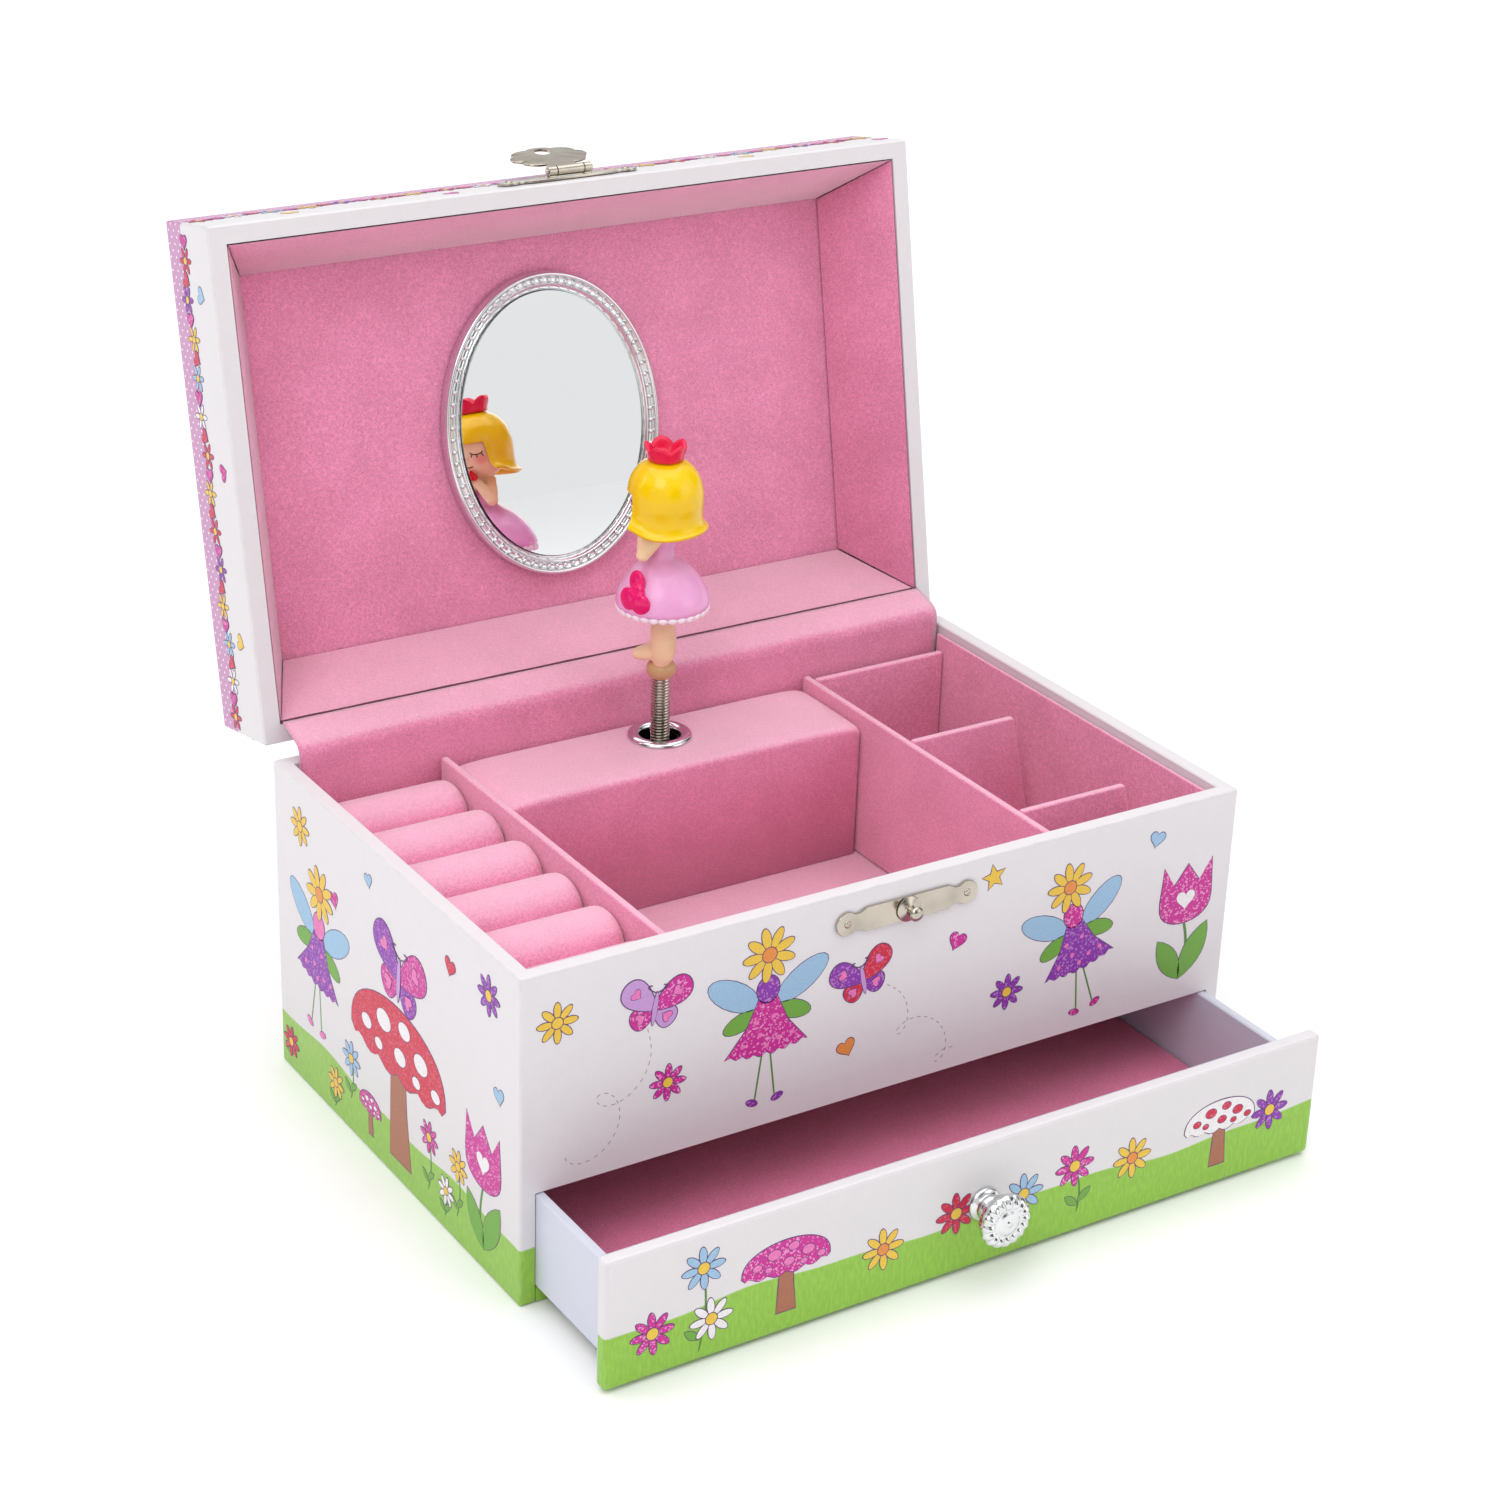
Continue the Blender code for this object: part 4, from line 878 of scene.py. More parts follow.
# ---- case ----
class JEWELLERY_OT_case(bpy.types.Operator):
    """Board case wrapped in one printed paper, open at the front for the drawer"""
    bl_idname = "jewellery.case"
    bl_label = "Case"

    def execute(self, context):
        edge = 0.5 * MM
        low, high = CASE_LOW[2], CASE_HIGH[2]
        outer = rounded_edge(low, high, edge)
        inner = [(WALL - 0.4 * MM, high), (WALL, high - 0.4 * MM), (WALL, low)]
        ring = stacked(CASE_LOW, CASE_HIGH, outer + inner, 1.0 * MM, 8)
        body = make_piece("case_body", [grid(ring, round_u=True, round_v=True)], "case_paper", "case",
                          ("left_side_panel", "right_side_panel", "front_panel", "back_panel"))
        over = 5 * MM
        opening = make_piece("drawer_cutter", [slab(
            np.array([CASE_LOW[0] + WALL, CASE_LOW[1] - over, low - over]),
            np.array([CASE_HIGH[0] - WALL, CASE_LOW[1] + WALL + over, DRAWER_OPENING]), 0.3 * MM)],
            "white_paper")
        key = JOINTS["key_turn"]["pos_m"]
        arbor = make_piece("arbor_cutter", [lathe([(0, 0), (3 * MM, 0), (3 * MM, 9 * over),
                                                   (0, 9 * over)], key, "Y")], "white_paper")
        for cutter in (opening, arbor):
            cut = body.modifiers.new("cut", "BOOLEAN")
            cut.operation = "DIFFERENCE"
            cut.solver = "EXACT"
            cut.object = cutter
        bake_modifiers(body)
        body.data.set_sharp_from_angle(angle=math.radians(35))
        for cutter in (opening, arbor):
            bpy.data.objects.remove(cutter, do_unlink=True)
        cad_finish("base_board", "case_paper")
        for node in ("drawer_shelf", "ring_platform"):
            cad_finish(node, "board")
        for node in ("movement_bedplate", "mainspring_barrel", "pinned_cylinder", "drive_spindle"):
            cad_finish(node, "brass")
        for node in ("comb", "governor", "stop_lever"):
            cad_finish(node, "steel")
        return {"FINISHED"}


def cad_finish(node, finish):
    frame["nodes"][node].material_slots[0].material = finish_of(finish)


# ---- flocked tray ----
def flocked_board(node, edge, finish="flock", body="case"):
    """A card board wrapped in flock, in the place of its packed block."""
    low, high = corners(node)
    edge = min(edge, min(high - low) * 0.45)
    return make_piece(f"flocked_{node}", [slab(low, high, edge)], finish, body, (node,), 60)


class JEWELLERY_OT_tray(bpy.types.Operator):
    """Flocked liners, dividers, floor, ring rolls and movement cover"""
    bl_idname = "jewellery.tray"
    bl_label = "Tray"

    def execute(self, context):
        soft = sizes().soft_edge
        for node in ("left_liner", "right_liner", "front_liner", "left_divider", "right_divider"):
            flocked_board(node, soft)
        for node in ("rear_cross_divider", "middle_cross_divider", "front_cross_divider"):
            self.cross_divider(node)
        flocked_board("tray_floor_pad", 1.5 * MM)
        for number in range(1, 7):
            self.ring_roll(f"ring_roll_{number}")
        self.cover()
        self.grommet()
        return {"FINISHED"}

    def cross_divider(self, node):
        """A board whose top corner nearest the case wall is cut back, except at the back."""
        low, high = corners(node)
        cut = 0 if node.startswith("rear") else 12 * MM
        outline = np.array([(low[0], low[2]), (high[0], low[2]), (high[0] - cut, high[2]),
                            (low[0], high[2])])
        sides = [np.insert(outline, 1, y, axis=1) for y in (low[1], high[1])]
        piece = make_piece(f"flocked_{node}", [grid(np.array(sides), round_v=True, caps=True)], "flock",
                           "case", (node,))
        soften(piece, sizes().soft_edge)

    def ring_roll(self, node):
        """A cylinder whose ends are turned over a soft edge, filled out by a cloth simulation."""
        low, high = corners(node)
        centre = (low + high) / 2
        radius = (high[2] - low[2]) / 2
        length = high[0] - low[0]
        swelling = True
        if swelling:
            radius -= sizes().roll_swell * 0.8
        edge = 3.2 * MM
        profile = [(0.01 * MM, 0), *[(radius - inset, height) for inset, height in
                                     rounded_edge(0, length, edge, 6)], (0.01 * MM, length)]
        shell = lathe(profile, (low[0], centre[1], centre[2]), "X", 40)
        piece = make_piece(f"flocked_{node}", [shell], "flock", stands_for=(node,))
        if swelling:
            swell(piece, 2.2 * MM, sizes().roll_swell)
        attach(piece, "case")

    def cover(self):
        """Rays run from the grommet's hole to a rounded rectangle; the top falls away towards each
        edge as a falling exponential, then turns down the sides."""
        low, high = corners("mechanism_cover")
        middle, half = (low + high) / 2, (high - low) / 2
        steps = 40
        outline = round_rectangle(half[:2], 2.5 * MM, steps)
        outline = even_outline(outline, 240) + middle[:2]
        hole = FIGURE[:2]
        away = outline - hole
        circle = hole + away / np.linalg.norm(away, axis=1, keepdims=True) * 8.3 * MM
        edge = 2.6 * MM
        inner = outline + (middle[:2] - outline) * (edge / half[:2])

        def topped(flat):
            gap = half[:2] - np.abs(flat - middle[:2])
            fall = 2.2 * MM * np.exp(-gap[:, 0] / (4.5 * MM)) + 0.8 * MM * np.exp(-gap[:, 1] / (4 * MM))
            return np.column_stack([flat, high[2] - fall])

        rows = [np.column_stack([circle, np.full(len(circle), high[2] - 4 * MM)])]
        rows += [topped(circle + (inner - circle) * share) for share in np.linspace(0, 1, 14)]
        top = rows[-1]
        for turn in np.linspace(0, math.pi / 2, 6)[1:]:
            flat = inner + (outline - inner) * math.sin(turn)
            rows.append(np.column_stack([flat, top[:, 2] - edge * (1 - math.cos(turn))]))
        rows.append(np.column_stack([outline, np.full(len(outline), low[2])]))
        piece = make_piece("cover_pad", [grid(np.array(rows), round_v=True)], "flock",
                           stands_for=("mechanism_cover",), smooth=60)
        wall = piece.modifiers.new("wall", "SOLIDIFY")
        wall.thickness = 1.6 * MM
        wall.offset = -1
        bake_modifiers(piece)
        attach(piece, "case")

    def grommet(self):
        """A closed section turned round the figure's axis: its lip rises as a sine to the 0.7, its
        inside runs straight down."""
        low, high = corners("grommet")
        top, flange = high[2], corners("mechanism_cover")[1][2]
        wide = (high[0] - low[0]) / 2
        bore = 6.9 * MM
        turn = np.linspace(0, math.pi, 12)
        lip = [(bore + (wide - bore) * (1 - math.cos(a)) / 2,
                flange + (top - flange) * math.sin(a) ** 0.7) for a in turn]
        profile = [(bore, low[2]), *lip, (wide - 0.8 * MM, flange - 0.1 * MM),
                   (bore + 0.8 * MM, flange - 0.1 * MM), (bore + 0.8 * MM, low[2])]
        make_piece("grommet_ring", [lathe(profile, FIGURE, closed=True, sides=64)], "chrome", "case",
                   ("grommet",), 50)


def even_outline(outline, count):
    """The closed outline with its points spaced evenly along it."""
    ring = np.concatenate([outline, outline[:1]])
    far = np.concatenate([[0], np.cumsum(np.linalg.norm(np.diff(ring, axis=0), axis=1))])
    at = np.linspace(0, far[-1], count, endpoint=False)
    return np.stack([np.interp(at, far, ring[:, axis]) for axis in range(ring.shape[1])], axis=1)


class JEWELLERY_OT_flap(bpy.types.Operator):
    """Flocked strip that hangs from the lid's lining down behind the tray"""
    bl_idname = "jewellery.flap"
    bl_label = "Hinge flap"

    def execute(self, context):
        """A route across the hinge, swept along X; a slow wave along X makes it hang unevenly."""
        low, high = corners("hinge_flap")
        pivot = JOINTS["lid_hinge"]["pos_m"]
        turn = np.linspace(0, 1, 24)
        hang = np.array([(low[1] + 0.6 * MM, low[2]), (low[1] + 0.6 * MM, 106 * MM),
                         (low[1] + 1.2 * MM, 113.5 * MM), (81 * MM, 116.3 * MM), (88.3 * MM, 118.3 * MM)])
        route = bezier_through(hang, turn)
        x = np.linspace(low[0], high[0], 90)
        sway = 0.35 * MM * np.sin(x * 95) * np.sin(x * 31 + 1)
        lift = np.sin(turn * math.pi)[:, None]
        rows = np.stack([np.broadcast_to(x, (len(turn), len(x))),
                         route[:, :1] - lift * np.abs(sway), route[:, 1:] + lift * sway], axis=-1)
        piece = make_piece("flap_cloth", [grid(rows)], "flock",
                           stands_for=("hinge_flap",), weld=False, smooth=60)
        wall = piece.modifiers.new("nap", "SOLIDIFY")
        wall.thickness = 0.9 * MM
        wall.offset = 0
        bake_modifiers(piece)
        pivot[1] + 1 * MM
        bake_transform(piece)
        float(high[0] - low[0])
        return {"FINISHED"}


def bezier_through(points, share):
    """A smooth line through a few points: each share is a sum of cubic blends between neighbours."""
    points = np.asarray(points, float)
    slope = np.gradient(points, axis=0)
    at = share * (len(points) - 1)
    start = np.clip(at.astype(int), 0, len(points) - 2)
    t = (at - start)[:, None]
    blends = (2 * t ** 3 - 3 * t ** 2 + 1, t ** 3 - 2 * t ** 2 + t,
              3 * t ** 2 - 2 * t ** 3, t ** 3 - t ** 2)
    return (blends[0] * points[start] + blends[1] * slope[start]
            + blends[2] * points[start + 1] + blends[3] * slope[start + 1])


# ---- lid ----
class JEWELLERY_OT_lid(bpy.types.Operator):
    """Papered lid, its flocked lining with mitred slopes, and the oval mirror"""
    bl_idname = "jewellery.lid"
    bl_label = "Lid"

    def execute(self, context):
        cad_finish("lid_shell", "lid_paper")
        self.lining()
        self.panel()
        self.mirror_rim()
        low, high = corners("mirror_glass", lid_shut)
        glass = lathe([(0, 0), (1, 0), (1, 1), (0, 1)], (0, 0, 0), sides=96)
        size = np.array([*(high - low)[:2] / 2, high[2] - low[2]])
        shift = np.array([*(high + low)[:2] / 2, low[2]])
        make_piece("mirror_plate", [moved(glass, lambda p: lid_open(p * size + shift))], "mirror",
                   "lid", ("mirror_glass",))
        return {"FINISHED"}

    def lining(self):
        """Four sloping boards that meet at the corners: each is a block from the rim to the panel."""
        low, high = corners("lid_lining", lid_shut)
        rim = (high - low)[:2] / 2 - 0.2 * MM
        run = corners("lid_panel_pad", lid_shut)[1][:2] - 2.5 * MM
        thick = 2.2 * MM
        gap = 0.2 * MM
        shells = []
        turns = ((1, -1), (1, 1), (-1, 1), (-1, -1), (1, -1))
        for first, second in zip(turns, turns[1:]):
            facing = np.add(first, second) / 2
            along = np.subtract(second, first) / 2
            rows = []
            for out, height in ((rim, low[2]), (run, high[2])):
                for side in (first, second):
                    corner = np.array(side) * out - along * np.dot(side, along) * gap
                    rows.append((*corner, height))
            inner = np.array(rows)[[0, 1, 3, 2]]
            outer = inner + np.array([*facing, 0.45]) * thick
            outer = np.clip(outer, [-rim[0], -rim[1], low[2]], [rim[0], rim[1], high[2]])
            shells.append(grid(np.array([inner, outer]), round_v=True, caps=True))
        piece = make_piece("lid_lining_cloth", shells, "flock",
                           stands_for=("lid_lining",), weld=True)
        soften(piece, 0.45 * MM, 2)
        place_on_lid(piece)
        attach(piece, "lid")
        # A thin dark tube along the lip of the board on the hinge side stands in for the shadow gap
        # between that board and the flap: painted shadow.
        along = np.linspace(low[0], high[0], 60)
        shadow_gap_path = np.column_stack([along, np.full(60, high[1] - 0.6 * MM), np.full(60, low[2] - 0.4 * MM)])
        shadow_gap_radius = 0.48 * MM + 0.05 * MM * np.sin(along * 260) - 1.2 * np.maximum(along - 0.04, 0) * MM
        make_piece("lining_cut_edge", [moved(tube(shadow_gap_path, shadow_gap_radius, 10), lid_open)], "cut_edge", "lid")

    def panel(self):
        """The padded board behind the mirror."""
        low, high = corners("lid_panel_pad", lid_shut)
        low = low + [0, 0, 0.3 * MM]
        piece = make_piece("lid_panel_cloth", [slab(low, high, 0.9 * MM)], "flock",
                           stands_for=("lid_panel_pad",))
        place_on_lid(piece)
        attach(piece, "lid")

    def mirror_rim(self):
        """A section carried round an ellipse: an outer bead, a channel and an inner ridge.  Beads
        stand in the channel at equal angles."""
        low, high = corners("mirror_frame", lid_shut)
        glass_low, glass_high = corners("mirror_glass", lid_shut)
        middle = (low + high) / 2
        half = (high - low)[:2] / 2
        width = half[0] - (glass_high - glass_low)[0] / 2
        deep = high[2] - low[2]
        section = [(0, 0), (0, 0.62), (0.03, 0.84), (0.09, 0.96), (0.16, 1.0), (0.22, 0.95), (0.26, 0.8),
                   (0.29, 0.66), (0.40, 0.60), (0.52, 0.62), (0.60, 0.68), (0.63, 0.8), (0.68, 0.86),
                   (0.73, 0.8), (0.76, 0.62), (0.82, 0.56), (0.88, 0.6), (0.93, 0.5), (1.04, 0.3),
                   (1.04, 0)]
        turn = np.linspace(0, 2 * math.pi, 240, endpoint=False)
        round_it = np.stack([np.cos(turn), np.sin(turn)], axis=1)
        rows = [np.column_stack([round_it * (half - share * width), np.full(len(turn), -rise * deep)])
                for share, rise in section]
        hatch = 0.04 * MM * np.sin(turn * 180)
        for number in (15, 16):
            rows[number][:, 2] += hatch
        base = np.array([middle[0], middle[1], high[2]])
        rim = moved(grid(np.array(rows), True, True), lambda p: lid_open(p + base))
        shells = [rim]
        count = sizes().beads
        track = half - 0.45 * width
        for number in range(count):
            angle = 2 * math.pi * number / count
            centre = base + [track[0] * math.cos(angle), track[1] * math.sin(angle), -0.68 * deep]
            bead = ellipsoid(centre, (0.8 * MM, 0.8 * MM, 0.75 * MM), rings=8, sides=12)
            shells.append(moved(bead, lid_open))
        make_piece("mirror_rim", shells, "silver", "lid", ("mirror_frame",), 60)


def place_on_lid(piece):
    """Turn a mesh that was shaped with the lid shut to the open lid."""
    points = lid_open(vertex_places(piece.data))
    piece.data.vertices.foreach_set("co", points.ravel())
    piece.data.update()


# ---- hardware ----
def bar_outline(half_length, half_height):
    """A bar cut down to a short neck at each end, with a round lobe beyond the neck: half its
    height is the larger of the bar, its ramp to the neck, and the lobe's circle."""
    lobe = half_height * 0.97
    centre = half_length - lobe
    swing = np.cos(np.linspace(math.pi, 0, 29)) * lobe
    inner = np.array([centre - 1.75 * lobe, centre - 1.65 * lobe, centre - 1.15 * lobe,
                      centre - 1.05 * lobe])
    x = np.concatenate([swing - centre, -inner[::-1], [0], inner, swing + centre])
    x = np.unique(np.round(x, 7))
    far = np.abs(x)
    bar = np.interp(far, [inner[0], inner[2]], [half_height, 0.70 * half_height])
    bar = np.where(far > centre - 0.6 * lobe, 0, bar)
    circle = np.sqrt(np.clip(lobe ** 2 - (far - centre) ** 2, 0, None))
    tall = np.maximum(np.maximum(bar, circle), 0.05 * MM)
    return np.concatenate([np.stack([x, -tall], axis=1), np.stack([x, tall], axis=1)[::-1]])


def nail(place, axis="-Y", radius=1.25 * MM):
    """A domed nail head with a small centre dimple."""
    turn = np.linspace(0.5, math.pi / 2, 5)
    dome = [(radius * math.sin(a), 0.55 * MM * math.cos(a)) for a in turn]
    return lathe([(0, 0.1 * MM), (0.28 * radius, 0.2 * MM), (0.38 * radius, 0.45 * MM), *dome,
                  (radius, -0.3 * MM), (0, -0.3 * MM)], place, axis, 20)


class JEWELLERY_OT_hardware(bpy.types.Operator):
    """Strike plate and stud, hasp, hinges and winding key"""
    bl_idname = "jewellery.hardware"
    bl_label = "Hardware"

    def execute(self, context):
        self.plate_with_nails("strike_plate", "case")
        self.plate_with_nails("hasp_base_plate", "lid")
        self.stud()
        self.hasp()
        self.hinges()
        self.winding_key()
        return {"FINISHED"}

    def plate_with_nails(self, node, body):
        """A pressed bar with a round lobe and a domed nail at each end."""
        unplace, replace = PLACINGS[body]
        low, high = corners(node, unplace)
        thick = 0.8 * MM
        centre_z = low[2] + 4 * MM if body == "case" else high[2] - 4 * MM
        middle = np.array([(low[0] + high[0]) / 2, high[1], centre_z])
        half_length = (high[0] - low[0]) / 2
        outline = bar_outline(half_length, 4 * MM)
        sheet = moved(cut_sheet(outline, thick), lambda p: replace(upright(p, middle)))
        shells = [sheet]
        for side in (-1, 1):
            head = middle + [side * (half_length - 3.9 * MM), -thick, 0]
            shells.append(moved(nail(head), replace))
        if body == "lid":
            shells += self.lugs()
        make_piece(f"{node}_pressed", shells, "nickel", body, (node,), 40)

    def lugs(self):
        """Two curled ears that hold the pin: each is a tube round the pin and a web to the plate."""
        pin_low, pin_high = corners("hasp_pin", lid_shut)
        pin = (pin_low + pin_high) / 2
        face = corners("hasp_base_plate", lid_shut)[1][1] - 0.4 * MM
        shells = []
        for side in (-1, 1):
            x = pin[0] + side * 6.6 * MM
            ear = lathe([(1.0 * MM, -1.4 * MM), (1.7 * MM, -1.4 * MM), (1.7 * MM, 1.4 * MM),
                         (1.0 * MM, 1.4 * MM)], (x, pin[1], pin[2]), "X", 24, closed=True)
            web = slab(np.array([x - 1.4 * MM, pin[1] + 1.1 * MM, pin[2] - 0.7 * MM]),
                       np.array([x + 1.4 * MM, face, pin[2] + 0.7 * MM]), 0.15 * MM)
            shells += [moved(ear, lid_open), moved(web, lid_open)]
        length = (pin_high - pin_low)[0] / 2
        rod = lathe([(0, -length), (0.7 * MM, -length), (0.8 * MM, 0.2 * MM - length),
                     (0.8 * MM, length - 0.2 * MM), (0.7 * MM, length), (0, length)], pin, "X", 20)
        make_piece("hasp_hinge_pin", [moved(rod, lid_open)], "steel", "lid",
                   ("hasp_pin",), 40)
        return shells

    def stud(self):
        """A turned profile: a ball on a narrow neck over a dished washer."""
        low, high = corners("strike_stud")
        place = np.array([(low[0] + high[0]) / 2, high[1], (low[2] + high[2]) / 2])
        profile = [(0, 5.4), (0.7, 5.35), (1.5, 5.1), (2.1, 4.7), (2.4, 4.2), (2.35, 3.8), (1.9, 3.3),
                   (1.55, 2.8), (1.5, 1.0), (1.8, 0.75), (3.9, 0.5), (4.2, 0.25), (4.2, 0), (0, 0)]
        make_piece("turned_stud", [lathe(np.array(profile) * MM, place, "-Y", 40)], "nickel", "case",
                   ("strike_stud",), 40)

    def hasp(self):
        """A shell-shaped leaf: rays from its round hole to a lobed fan and a neck, rolled into a
        barrel round the pin."""
        low, high = corners("hasp", hasp_hanging)
        pin = hasp_hanging([JOINTS["hasp_hinge"]["pos_m"]])[0]
        hole_down = pin[2] - corners("strike_stud")[0][2] - 4.2 * MM
        turn = np.linspace(0, 2 * math.pi, 160, endpoint=False)
        wide = (high[0] - low[0]) / 2
        lobes = 0.88 + 0.12 * np.abs(np.cos(turn * 4)) ** 0.7
        fan = np.stack([wide * lobes * np.cos(turn), -14 * MM - 9.2 * MM * lobes * np.sin(turn)], axis=1)
        neck_half = 4.6 * MM
        neck = (np.abs(fan[:, 0]) < neck_half * 1.15) & (fan[:, 1] > -7.5 * MM)
        fan[neck, 0] = np.clip(fan[neck, 0], -neck_half, neck_half)
        fan[neck, 1] = -1.2 * MM
        hole = np.stack([2.9 * MM * np.cos(turn), -hole_down - 2.9 * MM * np.sin(turn)], axis=1)
        thick = 0.8 * MM
        edge = 0.12 * MM
        inner = fan + (hole - fan) * 0.02
        rows = [(hole, 0), (inner, 0), (fan, edge), (fan, thick - edge), (inner, thick), (hole, thick)]
        points = np.array([np.column_stack([flat, np.full(len(flat), z)]) for flat, z in rows])
        leaf = grid(points, True, True)
        barrel = lathe(np.array([(1.1, -4.8), (1.7, -4.8), (1.7, 4.8), (1.1, 4.8)]) * MM, pin, "X", 28,
                       closed=True)
        leaf = moved(leaf, lambda p: upright(p, pin + [0, thick / 2, 0]))
        shells = [moved(shell, hasp_folded) for shell in (leaf, barrel)]
        make_piece("hasp_leaf", shells, "nickel", "hasp", ("hasp",), 40)

    def hinges(self):
        """Three domed nails in a triangle on each hinge leaf."""
        for side in ("left", "right"):
            for body, (unplace, replace) in PLACINGS.items():
                node = f"{side}_hinge_{body}_leaf"
                cad_finish(node, "nickel")
                low, high = corners(node, unplace)
                middle = (low[0] + high[0]) / 2
                pivot = JOINTS["lid_hinge"]["pos_m"][2]
                height = pivot + (10.5 * MM if body == "lid" else -9.5 * MM)
                face = CASE_HIGH[1] + 1.1 * MM
                shells = []
                for across in (-8, 0, 8):
                    drop = 3 * MM * (1 if across == 0 else -0.4) * (1 if body == "lid" else -1)
                    head = nail((middle + across * MM, face, height + drop), "Y", 1.5 * MM)
                    shells.append(moved(head, replace))
                make_piece(f"{node}_nails", shells, "nickel", body)

    def winding_key(self):
        """An arbor and hub, and two flat round wings fused to a web."""
        low, high = corners("winding_key")
        axis = JOINTS["key_turn"]["pos_m"]
        hub_y, wing_y = 83.5 * MM, high[1] - 6 * MM
        arbor = lathe([(0, low[1]), (2.2 * MM, low[1]), (2.2 * MM, hub_y), (3.6 * MM, hub_y),
                       (4 * MM, hub_y + 0.4 * MM), (4 * MM, hub_y + 5 * MM), (3 * MM, hub_y + 6 * MM),
                       (0, hub_y + 6 * MM)], (axis[0], 0, axis[2]), "Y", 40)
        shells = [arbor]
        wide = (high[0] - low[0]) / 2
        for side in (-1, 1):
            centre = (axis[0] + side * (wide - 6 * MM), wing_y, axis[2])
            shells.append(ellipsoid(centre, (6 * MM, 6 * MM, 1.2 * MM), rings=20, sides=40))
        shells.append(slab(np.array([axis[0] - 4 * MM, hub_y + 2.5 * MM, axis[2] - 1 * MM]),
                           np.array([axis[0] + 4 * MM, wing_y + 2 * MM, axis[2] + 1 * MM]), 0.5 * MM))
        piece = make_piece("butterfly_key", shells, "nickel", "winding_key",
                           ("winding_key",))
        fuse(piece, 0.35 * MM, 3)


# ---- drawer ----
class JEWELLERY_OT_drawer(bpy.types.Operator):
    """Drawer papers, its flocked floor and the faceted knob"""
    bl_idname = "jewellery.drawer"
    bl_label = "Drawer"

    def execute(self, context):
        cad_finish("drawer_front", "drawer_paper")
        for node in ("drawer_left_side", "drawer_right_side", "drawer_back"):
            cad_finish(node, "lilac_paper")
        cad_finish("drawer_bottom", "board")
        cad_finish("knob_screw", "steel")
        # The drawer's lining takes the deeper copy of the flock, painted shade.
        flocked_board("drawer_lining", 0.5 * MM, "deep_flock", "drawer")
        self.knob()
        return {"FINISHED"}

    def knob(self):
        """A ringed neck and a cup whose rim is fluted: the radius swings by a cosine of the angle,
        most at the rim.  A ring of small petals and a button stand on its face."""
        low, high = corners("drawer_knob")
        place = np.array([(low[0] + high[0]) / 2, high[1], (low[2] + high[2]) / 2])
        profile = np.array([(0, 0), (5.6, 0), (5.6, 0.6), (5.0, 1.2), (4.1, 1.6), (3.9, 2.5), (4.4, 3.0),
                            (4.5, 3.6), (4.0, 4.1), (4.0, 5.0), (5.8, 6.4), (7.6, 7.8), (8.5, 9.2),
                            (8.8, 10.2), (8.8, 10.9), (8.5, 11.6), (7.9, 12.1), (7.2, 12.4), (6.4, 12.6),
                            (5.6, 12.6), (5.0, 12.4), (4.5, 12.2), (4.1, 12.3), (3.5, 12.7), (2.8, 12.9),
                            (2.0, 12.9), (1.4, 12.8), (1.1, 13.0), (0.6, 13.3), (0, 13.4)]) * MM
        flutes = 16

        def fluted(section, turn):
            depth = np.interp(section[:, 0], [4.5 * MM, 6 * MM, 8.8 * MM], [0, 0.012, 0.035])
            top = (section[:, 1] > 5 * MM)[:, None]
            return 1 - depth[:, None] * top * (1 - np.cos(turn * flutes)) / 2

        def petalled(points):
            """Push the face out into a ring of domed petals."""
            local = points - place
            out = np.hypot(local[:, 0], local[:, 2])
            angle = np.arctan2(local[:, 2], local[:, 0])
            front = np.interp(-local[:, 1], [10.5 * MM, 12 * MM], [0, 1])
            ring = np.interp(out, [4.6 * MM, 5.6 * MM, 7.4 * MM, 8.6 * MM], [0, 1, 1, 0])
            rise = ring * front * (1 + np.cos(angle * flutes)) * 0.3 * MM
            return points - np.stack([0 * rise, rise, 0 * rise], axis=1)

        shells = [moved(lathe(profile, place, "-Y", 256, fluted), petalled)]
        make_piece("rosette_knob", shells, "chrome", "drawer", ("drawer_knob",), 60)


# ---- figure ----
AHEAD = np.array([math.cos(FACING), math.sin(FACING), 0])
ASIDE = np.array([-AHEAD[1], AHEAD[0], 0])
FIGURE_FRAME = np.array([AHEAD, ASIDE, [0, 0, 1]])


def on_figure(points):
    """Forward, sideways and up in millimetres, from the figure's axis."""
    return np.asarray(points, float) * MM @ FIGURE_FRAME + FIGURE


def ball(centre, radii, rings=20, sides=28):
    """An ellipsoid in the figure's own directions, in millimetres."""
    return ellipsoid(on_figure([centre])[0], np.array(radii) * MM, FIGURE_FRAME, rings, sides)


def arm(start, end, start_radius, end_radius):
    """A limb in the figure's own directions, in millimetres."""
    ends = on_figure([start, end])
    return limb(ends[0], ends[1], start_radius * MM, end_radius * MM)


HEAD = np.array([0, 0, 183.5])
HEAD_RADIUS = 10.8


